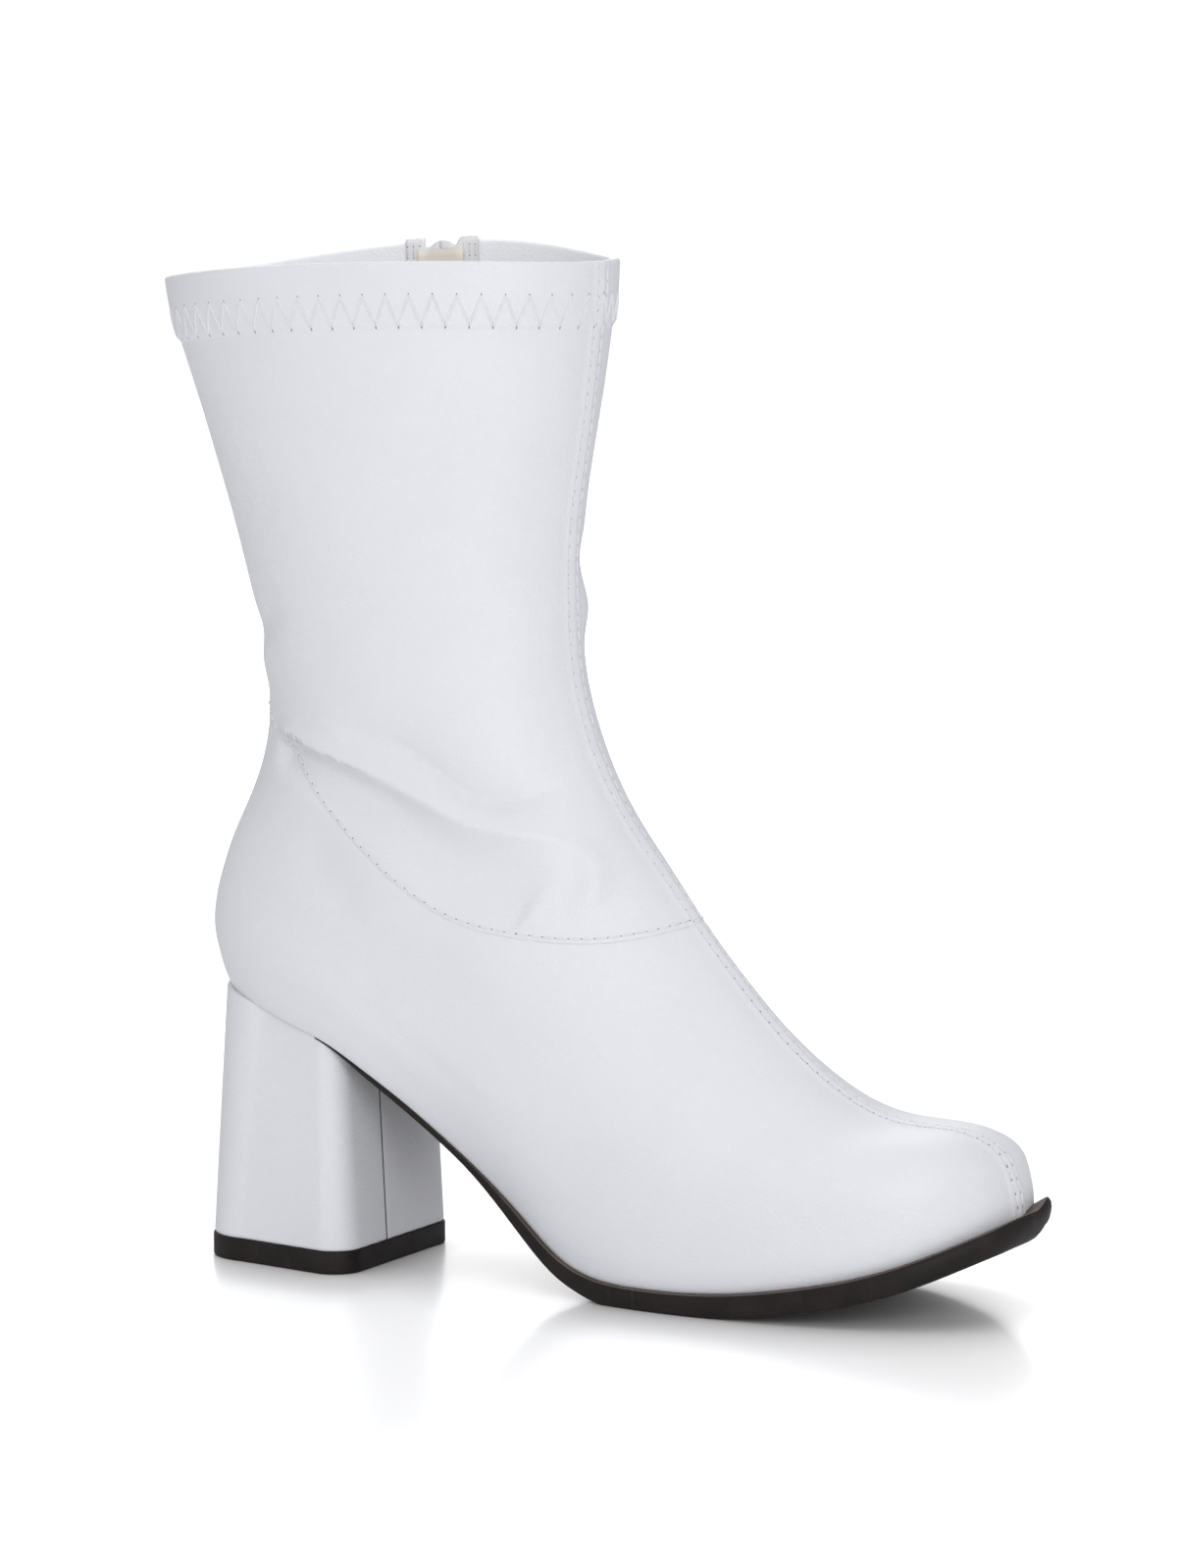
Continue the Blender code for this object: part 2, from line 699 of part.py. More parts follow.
def build_insole():
    """Full-length board inside the upper."""
    lv = sole_level(-INSOLE_INSET, -INSOLE_INSET, -INSOLE_INSET)
    middle = (lv.back_x + lv.front_x) / 2
    reach = (lv.front_x - lv.back_x) / 2 - 0.15
    x = middle - reach * np.cos(np.linspace(0, np.pi, 36))
    outer, inner = sole_edges(lv, x)
    base = seat_z(x)
    lines = (
        np.column_stack([outer, base + INSOLE_THICK]),
        np.column_stack([inner, base + INSOLE_THICK]),
        np.column_stack([outer, base]),
        np.column_stack([inner, base]),
    )
    make_object("insole", slab(*lines), (0.60, 0.52, 0.43), 0.8)


def build_heel():
    """Covered block heel under the seat, and the black piece it stands on."""
    floor = box_ring(HEEL_FLOOR, 26)
    seat = box_ring(HEEL_SEAT, 26)
    foot_z = TOP_PIECE_THICK + GAP
    shares = (0.0, 0.25, 0.5, 0.75, 1.0)
    rings = [floor + (seat - floor) * s for s in shares]

    def height(share):
        return lambda x: foot_z + share * (seat_z(x) - SEAT_GAP - foot_z)

    make_object("heel", heel_block(rings, [height(s) for s in shares]), (0.86, 0.87, 0.89), 0.45)
    piece = heel_block([floor, floor], [lambda x: 0 * x, lambda x: 0 * x + TOP_PIECE_THICK])
    make_object("heel_top_piece", piece, (0.02, 0.02, 0.022), 0.5)


def clear_scene():
    """Removes whatever the scene holds."""
    for obj in list(bpy.data.objects):
        bpy.data.objects.remove(obj, do_unlink=True)


def main():
    """Builds every piece of the boot."""
    clear_scene()
    points, normals = boot_sheet()
    seam, whole = seam_stations(points)
    build_outsole()
    build_heel()
    build_insole()
    build_upper(points, normals, seam)
    build_shaft(points, normals, seam, whole)
    middle = slot_columns()[1]
    build_zip(whole[middle] - seam[middle] - SLOT_START - GAP)
    build_slider()


main()
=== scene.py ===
"""Dressed model of a right-foot costume boot: white coated leather on a covered block heel.

Sizes are millimetres on the last, the form that the boot is made over: x runs from the
back of the heel seat to the toe, y to the inner side, where the zip is, and z up from
the floor. place() turns them into the frame's metres.
"""

import logging
import math
from collections.abc import Sequence
from dataclasses import dataclass, field
from enum import Enum
from typing import NamedTuple

import bpy
import numpy as np
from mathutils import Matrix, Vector


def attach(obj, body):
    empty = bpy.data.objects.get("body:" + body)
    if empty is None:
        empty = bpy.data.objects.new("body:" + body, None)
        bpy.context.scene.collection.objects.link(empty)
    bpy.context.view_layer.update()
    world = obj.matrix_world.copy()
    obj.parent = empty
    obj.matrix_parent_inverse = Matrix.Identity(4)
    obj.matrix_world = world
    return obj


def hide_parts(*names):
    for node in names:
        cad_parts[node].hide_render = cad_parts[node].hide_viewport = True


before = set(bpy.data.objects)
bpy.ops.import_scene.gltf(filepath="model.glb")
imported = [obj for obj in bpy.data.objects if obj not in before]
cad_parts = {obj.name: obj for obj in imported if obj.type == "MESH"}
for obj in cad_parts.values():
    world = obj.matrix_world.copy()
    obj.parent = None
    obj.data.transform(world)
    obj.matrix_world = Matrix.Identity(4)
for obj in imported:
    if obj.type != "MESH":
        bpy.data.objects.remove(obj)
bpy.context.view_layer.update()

log = logging.getLogger("boot")

MM = 0.001
CENTRE_X = 108.6
CENTRE_Y = 1.95
FAR = 1000.0
TINY = 1e-9
LAST_ROW_SPARE = 1e-6

Array = np.ndarray
Node = bpy.types.Node
NodeTree = bpy.types.NodeTree
Socket = bpy.types.NodeSocket
Material = bpy.types.Material
Faces = list[list[int]]
Pair = tuple[float, float]
Steps = tuple[float, ...]
Line = Sequence[Pair]
Colour = tuple[float, float, float]


class Side(Enum):
    """Side of the boot: the sign of its y."""

    OUTER = -1
    INNER = 1


class Body(Enum):
    """Bodies of the frame that a piece can ride on."""

    BOOT = "boot"
    PULL = "pull_tab"


class Slot(Enum):
    """Material slots of the record."""

    LEATHER = "upper_white"
    SOLE = "sole_black"
    LINING = "lining_beige"
    TAPE = "zip_tape"
    COIL = "zip_plastic"
    METAL = "zip_metal"


class Level(NamedTuple):
    """One loop around the boot, from the feather line (first row) to the collar (last)."""

    front_x: float
    front_z: float
    back_x: float
    back_z: float
    outer: float
    inner: float
    widest: float
    toe_power: float
    heel_power: float
    waist_out: float
    waist_in: float
    sag: float
    rise_out: float
    rise_in: float


# Front and back points, half widths, where it is widest, end roundness, waist pinch,
# share of the sole's dip, and how far each side stands above the line front to back.
LEVELS = (
    Level(232.0, 26.3, 0.8, 75.0, 37.0, 37.5, 0.70, 2.45, 3.00, 10.0, 13.0, 1.00, 0, 0),
    Level(231.5, 31.2, -1.8, 79.5, 39.5, 40.0, 0.70, 2.55, 2.80, 9.0, 12.0, 0.93, 0, 0),
    Level(229.5, 38.0, -3.9, 84.5, 40.5, 41.0, 0.69, 2.70, 2.65, 7.0, 10.0, 0.84, 0, 0),
    Level(225.0, 44.2, -5.2, 90.0, 40.5, 41.0, 0.68, 2.80, 2.60, 5.0, 8.0, 0.74, 0, 0),
    Level(213.5, 48.0, -5.4, 96.0, 39.5, 40.0, 0.66, 2.65, 2.50, 3.5, 5.5, 0.62, 0, 0),
    Level(198.0, 49.2, -4.5, 102.0, 38.0, 38.0, 0.64, 2.40, 2.40, 2.0, 3.5, 0.49, 0, 0),
    Level(182.0, 55.8, -2.6, 109.0, 36.0, 36.0, 0.61, 2.10, 2.30, 1.0, 2.0, 0.36, 0, 0),
    Level(165.5, 69.0, 0.3, 117.0, 34.0, 34.0, 0.57, 1.95, 2.20, 0.5, 1.0, 0.24, 0, 0),
    Level(148.5, 87.5, 4.9, 127.0, 32.5, 32.5, 0.54, 1.80, 2.10, 0.0, 0.5, 0.13, 0, 0),
    Level(129.5, 111.4, 9.2, 138.0, 31.5, 31.5, 0.52, 1.85, 2.05, 0.0, 0.0, 0.05, 0, 0),
    Level(113.0, 134.5, 11.2, 150.0, 31.0, 31.0, 0.50, 2.00, 2.00, 0.0, 0.0, 0.00, 0, 0),
    Level(103.5, 162.0, 10.1, 167.0, 31.5, 31.5, 0.50, 2.00, 2.00, 0.0, 0.0, 0.00, 0, 0),
    Level(101.6, 195.0, 3.6, 193.0, 33.5, 33.5, 0.50, 2.00, 2.00, 0.0, 0.0, 0.00, 0, 0.4),
    Level(105.8, 229.0, -6.4, 225.0, 37.0, 37.0, 0.50, 2.05, 2.00, 0.0, 0.0, 0.00, 0.5, 1.8),
    Level(109.2, 257.0, -15.3, 252.0, 39.8, 40.5, 0.50, 2.20, 2.05, 0.0, 0.0, 0.00, 1.8, 4.0),
    Level(110.0, 273.7, -18.6, 266.2, 41.0, 42.0, 0.50, 2.25, 2.05, 0.0, 0.0, 0.00, 3.3, 5.9),
)

# How the sides' rise falls off towards the front and back of a level
RISE_POWER = 2.0
INNER_FRONT_POWER = 5.0

# Lines in side view, as (x, z)
FEATHER_LINE: Line = (
    (0.8, 75.0), (15.0, 71.9), (30.0, 67.4), (43.0, 62.8), (52.0, 57.8), (65.0, 49.2),
    (75.0, 41.5), (85.0, 33.5), (100.0, 20.7), (112.0, 11.4), (124.0, 7.0), (138.0, 6.0),
    (155.0, 6.3), (170.0, 7.6), (185.0, 10.0), (200.0, 13.3), (215.0, 18.3), (232.0, 26.3),
)
ANKLE_SEAM: Line = (
    (0.0, 162.0), (18.0, 147.2), (33.0, 133.4), (52.0, 117.4), (68.0, 106.0),
    (84.0, 98.8), (101.0, 95.8), (118.0, 94.8), (132.0, 96.4), (146.0, 100.5),
)
# Thickness of the outsole, as (x, thickness)
SOLE_THICKNESS: Line = (
    (40.0, 1.0), (47.0, 1.5), (52.0, 2.1), (58.0, 2.45), (65.0, 2.65), (75.0, 2.75), (80.0, 2.85),
    (85.0, 3.2), (92.0, 4.2), (100.0, 5.35), (106.0, 5.8), (112.0, 5.9), (118.0, 5.9),
    (128.0, 6.5), (158.0, 6.5), (205.0, 7.0), (228.0, 7.2), (238.0, 7.4),
)


def place(points: Array) -> Array:
    """Millimetres on the last to metres in the frame."""
    return (np.asarray(points, float) - (CENTRE_X, CENTRE_Y, 0.0)) * MM


def smoothstep(low: float, high: float, value: Array) -> Array:
    """Soft step from 0 at low to 1 at high."""
    s = np.clip((np.asarray(value, float) - low) / (high - low), 0, 1)
    return s * s * (3 - 2 * s)


def bell(value: Array, width: float | Array) -> Array:
    """Soft bump of height 1 around 0."""
    return np.exp(-((value / width) ** 2))


def spline(knots: Array, values: Array, at: Array) -> Array:
    """Natural cubic spline.

    Args:
        knots: Places of the values, rising.
        values: One value, or one row of values, at each knot.
        at: Places to read.

    Returns:
        The values there.
    """
    knots, values = np.asarray(knots, float), np.asarray(values, float)
    count = len(knots)
    step = np.diff(knots)
    matrix = np.eye(count)
    right = np.zeros(values.shape)
    for i in range(1, count - 1):
        matrix[i, i - 1 : i + 2] = step[i - 1], 2 * (step[i - 1] + step[i]), step[i]
        after = (values[i + 1] - values[i]) / step[i]
        right[i] = 6 * (after - (values[i] - values[i - 1]) / step[i - 1])
    bend = np.linalg.solve(matrix, right)
    at = np.atleast_1d(np.asarray(at, float))
    k = np.clip(np.searchsorted(knots, at) - 1, 0, count - 2)
    a, b, h = knots[k + 1] - at, at - knots[k], step[k]
    if values.ndim > 1:
        a, b, h = a[:, None], b[:, None], h[:, None]
    curve = bend[k] * a**3 / (6 * h) + bend[k + 1] * b**3 / (6 * h)
    curve += (values[k] / h - bend[k] * h / 6) * a
    return curve + (values[k + 1] / h - bend[k + 1] * h / 6) * b


def along(table: Line, x: Array) -> Array:
    """Reads a two-column table at x by spline, held at its ends."""
    rows = np.array(table)
    return spline(rows[:, 0], rows[:, 1], np.clip(x, rows[0, 0], rows[-1, 0]))


def arc_length(points: Array) -> Array:
    """Distance along a polyline at each of its points."""
    return np.r_[0, np.cumsum(np.linalg.norm(np.diff(points, axis=0), axis=1))]


def read_columns(at: Array, knots: Array, table: Array) -> Array:
    """Reads each column of a table, whose rows stand at the knots, in straight steps."""
    return np.stack([np.interp(at, knots, column) for column in table.T], -1)


def at_arcs(points: Array, arcs: Array) -> Array:
    """Points of a polyline at given distances along it."""
    return read_columns(arcs, arc_length(points), points)


def unit(vectors: Array) -> Array:
    """Vectors scaled to length 1."""
    return vectors / np.maximum(np.linalg.norm(vectors, axis=-1, keepdims=True), TINY)


def circle(sides: int) -> tuple[Array, Array]:
    """Cosines and sines of even steps round a circle, as columns."""
    angle = np.linspace(0, 2 * np.pi, sides, endpoint=False)[:, None]
    return np.cos(angle), np.sin(angle)


def both_signs(values: Sequence[float]) -> Steps:
    """The values, then the same values below 0."""
    return (*values, *(-v for v in values))


@dataclass(frozen=True)
class Last:
    """The form that the boot is made over."""

    toe_swing: float = 4.0
    swing_from: float = 120.0
    welt_slope: float = 0.65
    waist_at: float = 0.40
    waist_long: float = 0.16
    waist_ends: float = 8.0
    loop_samples: int = 721

    def seat_z(self, x: Array) -> Array:
        """Height of the surface that the upper's lower rim stands on, past the toe too."""
        x = np.asarray(x, float)
        return along(FEATHER_LINE, x) + self.welt_slope * np.maximum(x - FEATHER_LINE[-1][0], 0)

    def level(self, t: float) -> Level:
        """The loop's measures at height share t from feather line to collar."""
        return Level(*spline(np.arange(len(LEVELS)), np.array(LEVELS), t * (len(LEVELS) - 1))[0])

    def half_width(self, lv: Level, side: Side, q: Array) -> Array:
        """Half width of a loop.

        Args:
            lv: The loop's measures.
            side: Outer or inner side.
            q: Shares of the way from the back to the front.

        Returns:
            Distance from the middle line at each share.
        """
        half, pinch = (lv.outer, lv.waist_out) if side is Side.OUTER else (lv.inner, lv.waist_in)
        front = q > lv.widest
        v = np.where(front, (q - lv.widest) / (1 - lv.widest), (lv.widest - q) / lv.widest)
        power = np.where(front, lv.toe_power, lv.heel_power)
        round_ends = half * (1 - np.clip(v, 0, 1) ** power) ** (1 / power)
        waist = pinch * bell(q - self.waist_at, self.waist_long)
        waist *= np.clip(self.waist_ends * q * (1 - q), 0, 1)
        return np.maximum(round_ends - waist, 0)

    def swing(self, x: Array) -> Array:
        """Sideways curve of the forefoot towards the inner side."""
        return self.toe_swing * smoothstep(self.swing_from, FEATHER_LINE[-1][0], x)

    def half_loop(self, t: float, side: Side) -> Array:
        """Points of one side of a loop, from the front to the back.

        Args:
            t: Height share from the feather line to the collar.
            side: Outer or inner side.

        Returns:
            Points of the half loop.
        """
        lv = self.level(t)
        q = (1 + np.cos(np.linspace(0, np.pi, self.loop_samples))) / 2
        x = lv.back_x + (lv.front_x - lv.back_x) * q
        width = self.half_width(lv, side, q)
        half, rise = (lv.outer, lv.rise_out) if side is Side.OUTER else (lv.inner, lv.rise_in)
        (heel_x, heel_z), (toe_x, toe_z) = FEATHER_LINE[0], FEATHER_LINE[-1]
        dip = along(FEATHER_LINE, heel_x + (toe_x - heel_x) * q) - (heel_z + (toe_z - heel_z) * q)
        inner_front = (side is Side.INNER) & (q > lv.widest)
        power = np.where(inner_front, INNER_FRONT_POWER, RISE_POWER)
        z = lv.back_z + (lv.front_z - lv.back_z) * q + lv.sag * dip + rise * (width / half) ** power
        return np.stack([x, side.value * width + self.swing(x), z], -1)

    def plate(self, grow_front: float, grow_back: float, grow_side: float) -> Level:
        """The feather line's loop, grown at the toe, at the heel and at the sides.

        Args:
            grow_front: Growth at the toe.
            grow_back: Growth at the heel.
            grow_side: Growth at each side.

        Returns:
            Measures of the grown loop.
        """
        lv = LEVELS[0]
        return lv._replace(
            front_x=lv.front_x + grow_front,
            back_x=lv.back_x - grow_back,
            outer=lv.outer + grow_side,
            inner=lv.inner + grow_side,
        )

    def plate_edges(self, lv: Level, x: Array) -> tuple[Array, Array]:
        """Outer and inner edges (x, y) of a sole-shaped plate at places x.

        Args:
            lv: The plate's measures.
            x: Places along it.

        Returns:
            The outer edge and the inner edge.
        """
        q = (x - lv.back_x) / (lv.front_x - lv.back_x)
        outer = np.column_stack([x, self.swing(x) - self.half_width(lv, Side.OUTER, q)])
        inner = np.column_stack([x, self.swing(x) + self.half_width(lv, Side.INNER, q)])
        return outer, inner


@dataclass
class Sheet:
    """Grid of points on the boot, closed around it, with where each point lies.

    Rows run up the boot. Columns run from the front seam down the outer side to the
    back and on along the inner side to the front again.
    """

    points: Array
    normals: Array
    arc: Array
    zip_off: Array

    def at(self, row: Array, column: Array) -> tuple[Array, Array]:
        """Points and normals between the grid's own.

        Args:
            row: Row numbers, whole or not.
            column: Column numbers, whole or not.

        Returns:
            Points and normals there.
        """
        rows, columns = self.points.shape[:2]
        row = np.clip(row, 0, rows - 1 - LAST_ROW_SPARE)
        r, c = np.floor(row).astype(int), np.floor(column).astype(int)
        u, v = (row - r)[..., None], (column - c)[..., None]
        found = []
        for grid in (self.points, self.normals):
            low = grid[r, c % columns] * (1 - v) + grid[r, (c + 1) % columns] * v
            high = grid[r + 1, c % columns] * (1 - v) + grid[r + 1, (c + 1) % columns] * v
            found.append(low * (1 - u) + high * u)
        return found[0], unit(found[1])

    def moved(self, out: Array) -> Array:
        """The points, each moved outwards by its own distance."""
        return self.points + self.normals * out[..., None]

    def reshaped(self, points: Array) -> "Sheet":
        """The same sheet through new points."""
        return Sheet(points, grid_normals(points), self.arc, self.zip_off)


def grid_normals(points: Array) -> Array:
    """Outward normals of a grid that is closed around the boot."""
    around = np.roll(points, -1, axis=1) - np.roll(points, 1, axis=1)
    return unit(np.cross(np.gradient(points, axis=0), around))


# Columns beside the front seam, across the zip's slot and beside it, as distances from the
# seam and from the zip's middle line
FRONT_STEPS = (0.0, 0.4, 0.8, 1.2, 1.6, 1.9, 2.2, 2.5, 2.9, 3.4, 4.1, 5.2)
STITCH_COLUMN = 6
SLOT_MIDDLE = (-3.0, 0.0, 3.0)
SLOT_STEPS = (6.0, 6.08, 6.2, 6.4, 6.7, 7.1, 7.5, 7.9, 8.5, 9.2, 10.0, 10.8, 12.0)


@dataclass
class FormGrid:
    """The last's surface on fine loops, which can be read at any stations up its columns."""

    last: Last
    loops: int = 401
    outer_columns: int = 128
    zip_front_columns: int = 58
    zip_back_columns: int = 52
    zip_at: float = 0.535
    fine: Sheet = field(init=False)
    seam: Array = field(init=False)
    whole: Array = field(init=False)

    def __post_init__(self) -> None:
        """Makes the fine sheet, and finds the ankle seam and collar on each column."""
        points, arcs, offsets = [], [], []
        for t in np.linspace(0, 1, self.loops):
            outer = self.last.half_loop(t, Side.OUTER)
            inner = self.last.half_loop(t, Side.INNER)
            outer_at = self.outer_arcs(arc_length(outer)[-1])
            inner_at = self.inner_arcs(arc_length(inner)[-1])
            back_to_front = slice(-2, 0, -1)
            sides = at_arcs(outer, outer_at), at_arcs(inner, inner_at)[back_to_front]
            points.append(np.vstack(sides))
            arcs.append(np.r_[outer_at, inner_at[back_to_front]])
            from_zip = inner_at - self.zip_at * arc_length(inner)[-1]
            offsets.append(np.r_[np.full(len(outer_at), FAR), from_zip[back_to_front]])
        grid = np.array(points)
        self.fine = Sheet(grid, grid_normals(grid), np.array(arcs), np.array(offsets))
        self.find_seam()

    def outer_arcs(self, length: float) -> Array:
        """Column places on the outer side: close beside the front seam, then even."""
        return np.r_[FRONT_STEPS, np.linspace(FRONT_STEPS[-1], length, self.outer_columns)[1:]]

    def inner_arcs(self, length: float) -> Array:
        """Column places on the inner side: close beside the front seam and the zip's slot.

        Args:
            length: Length of the half loop.

        Returns:
            Distances from the front seam.
        """
        centre = self.zip_at * length
        steps = np.array(SLOT_STEPS)
        to_slot = np.linspace(FRONT_STEPS[-1], centre - steps[-1], self.zip_front_columns)[1:-1]
        to_back = np.linspace(centre + steps[-1], length, self.zip_back_columns)[1:]
        slot = centre + np.r_[-steps[::-1], SLOT_MIDDLE, steps]
        return np.r_[FRONT_STEPS, to_slot, slot, to_back]

    def find_seam(self) -> None:
        """Finds the distance up each column to the ankle seam, and its whole length."""
        grid = self.fine.points
        above = grid[:, :, 2] - along(ANKLE_SEAM, grid[:, :, 0].ravel()).reshape(grid.shape[:2])
        self.seam = np.empty(grid.shape[1])
        self.whole = np.empty(grid.shape[1])
        for j in range(grid.shape[1]):
            d = arc_length(grid[:, j])
            k = np.nonzero(above[:, j] > 0)[0][0]
            share = above[k - 1, j] / (above[k - 1, j] - above[k, j])
            self.seam[j] = d[k - 1] + share * (d[k] - d[k - 1])
            self.whole[j] = d[-1]

    def read(self, stations: Array) -> Sheet:
        """Reads each column of the fine sheet at its own distances up it.

        Args:
            stations: Distances from the feather line, by row and column.

        Returns:
            The sheet through those places.
        """
        fine = self.fine
        channels = np.dstack([fine.points, fine.normals, fine.arc, fine.zip_off])
        found = np.empty(stations.shape + (channels.shape[2],))
        for j in range(stations.shape[1]):
            d = arc_length(fine.points[:, j])
            found[:, j] = read_columns(stations[:, j], d, channels[:, j])
        return Sheet(found[..., 0:3], unit(found[..., 3:6]), found[..., 6], found[..., 7])


# How far the leather has to face a side for that side's folds to start and to show in full
FACES_SIDE = (-0.05, 0.4)


def beside(path: Line, samples: int, sheet: Sheet) -> tuple[Array, Array, Array]:
    """Finds where each point of a sheet lies beside a line in side view.

    Args:
        path: Points that the line runs through.
        samples: Number of places that are tried along it.
        sheet: The sheet.

    Returns:
        Distance from the line, share of the way along it, and hand, below 0 on the left.
    """
    knots = np.array(path)
    shares = np.linspace(0, 1, samples)
    line = spline(arc_length(knots) / arc_length(knots)[-1], knots, shares)
    ahead = unit(np.gradient(line, axis=0))
    x, z = sheet.points[..., 0], sheet.points[..., 2]
    away, on, hand = np.full(x.shape, FAR), np.zeros(x.shape), np.zeros(x.shape)
    for share, (line_x, line_z), (run_x, run_z) in zip(shares, line, ahead):
        dx, dz = x - line_x, z - line_z
        d = np.hypot(dx, dz)
        nearer = d < away
        away = np.where(nearer, d, away)
        on = np.where(nearer, share, on)
        hand = np.where(nearer, dx * run_z - dz * run_x, hand)
    return away, on, hand


def run_out(
    side: Side, sheet: Sheet, share: Array, fades: Pair, spare: float
) -> Array:
    """How much of a fold is left towards its ends and round the boot's front and back.

    Args:
        side: The side that the fold is on.
        sheet: The sheet that it lifts.
        share: Share of the way along the fold at each point.
        fades: Shares of its length over which it starts and ends.
        spare: How far past each end it still shows, as a share of its length.

    Returns:
        Share from 0 to 1 at each point.
    """
    starts, stops = fades
    ends = smoothstep(0, starts, share + spare) * smoothstep(0, stops, 1 + spare - share)
    return ends * smoothstep(*FACES_SIDE, side.value * sheet.normals[..., 1])


@dataclass(frozen=True)
class Fold:
    """Soft ridge, or trough where its height is negative, along a line in side view."""

    side: Side
    path: Line
    height: float
    width: float
    width_end: float
    fade: float = 0.25
    past_ends: float = 0.02
    samples: int = 160

    def lift(self, sheet: Sheet) -> Array:
        """How far the fold lifts each point of a sheet.

        Args:
            sheet: The sheet.

        Returns:
            Distance outwards at each point.
        """
        away, share, _ = beside(self.path, self.samples, sheet)
        width = self.width + (self.width_end - self.width) * share
        left = run_out(self.side, sheet, share, (self.fade, self.fade), self.past_ends)
        return self.height * bell(away, width) * left


class Spread(NamedTuple):
    """A size at the start and at the end of a crease."""

    start: float
    end: float

    def at(self, share: Array) -> Array:
        """The size at shares of the way."""
        return self.start + (self.end - self.start) * share


@dataclass(frozen=True)
class Crease:
    """Sharp ridge, or furrow where its height is negative, along a line in side view.

    It runs out softly to both sides. On the right hand of the line's run the leather can
    drop on into a hollow before it comes back.
    """

    side: Side
    path: Line
    height: float
    left: Spread
    right: Spread
    hollow: float = 0.0
    hollow_reach: Spread = Spread(8.0, 8.0)
    fade_in: float = 0.1
    fade_out: float = 0.25
    blunt: float = 0.4
    past_ends: float = 0.01
    samples: int = 240

    def lift(self, sheet: Sheet) -> Array:
        """How far the crease lifts each point of a sheet.

        Args:
            sheet: The sheet.

        Returns:
            Distance outwards at each point.
        """
        nearest, on, hand = beside(self.path, self.samples, sheet)
        away = np.hypot(nearest, self.blunt) - self.blunt
        on_left = self.height * (1 - np.clip(away / self.left.at(on), 0, 1)) ** 2
        drop = self.right.at(on)
        low = -self.hollow * (1 - smoothstep(0, 1, (away - drop) / self.hollow_reach.at(on)))
        on_right = low + (self.height + self.hollow) * (1 - np.clip(away / drop, 0, 1)) ** 2
        fades = self.fade_in, self.fade_out
        left = run_out(self.side, sheet, on, fades, self.past_ends)
        return np.where(hand < 0, on_left, on_right) * left


# Creases of the ankle, as the boot stands in the photograph on its outer side
OUTER_FOLDS = (
    Crease(
        Side.OUTER,
        ((22, 146.2), (34.7, 143.5), (46.6, 140.5), (58.7, 136.8), (67, 133.8), (75.4, 130),
         (83.7, 126), (91.5, 123.7), (98.5, 122.6), (106, 121.6), (112, 119.4), (115.5, 117.0)),
        1.9, Spread(5.0, 9.0), Spread(3.0, 13.0), 3.0, Spread(9.0, 18.0), 0.07, 0.22,
    ),
    Crease(
        Side.OUTER,
        ((113, 139.5), (110.5, 138), (105, 134.5), (99.7, 131.8), (93, 131), (84.4, 133),
         (77.3, 137.5), (67, 143.5), (60, 146), (50, 148), (38, 152)),
        -3.0, Spread(4.5, 5.5), Spread(13.0, 17.0), fade_in=0.3, fade_out=0.4,
    ),
    Fold(
        Side.OUTER,
        ((109, 121), (115.5, 117), (118.2, 111), (117.5, 105), (114.5, 99.5)),
        1.7, 2.6, 3.4, 0.4,
    ),
    Fold(Side.OUTER, ((6, 168), (17, 174), (28, 186)), -1.0, 5.0, 6.0, 0.4),
    Fold(Side.OUTER, ((8, 160), (14, 164), (22, 168)), 0.9, 6.0, 6.0, 0.4),
    Fold(Side.OUTER, ((30, 118), (42, 108), (56, 97)), -0.6, 6.0, 8.0, 0.4),
)
INNER_FOLDS = (
    Fold(Side.INNER, ((70, 172), (86, 177), (97, 180), (106, 182)), 1.9, 7.0, 7.0, 0.3),
    Fold(Side.INNER, ((74, 189), (88, 192), (98, 194), (106, 195)), -1.0, 6.0, 6.0, 0.3),
    Crease(
        Side.INNER,
        ((24, 147.5), (38, 145), (52, 140.5), (66, 134.5), (80, 128.5), (94, 124), (106, 121),
         (112, 118.5)),
        1.2, Spread(5.0, 8.5), Spread(3.6, 9.0), 1.3, Spread(8.0, 16.0), 0.1, 0.25,
    ),
    Fold(Side.INNER, ((44, 158), (62, 150), (80, 141), (94, 134), (104, 138)), -0.8, 5.0, 6.0),
)


class MeshData(NamedTuple):
    """Vertices and faces of a mesh, with a number for each face's kind."""

    verts: Array
    faces: Faces
    kinds: list[int]


class WallFace(Enum):
    """Kinds of face on a wall."""

    OUTER = 0
    INNER = 1
    EDGE = 2


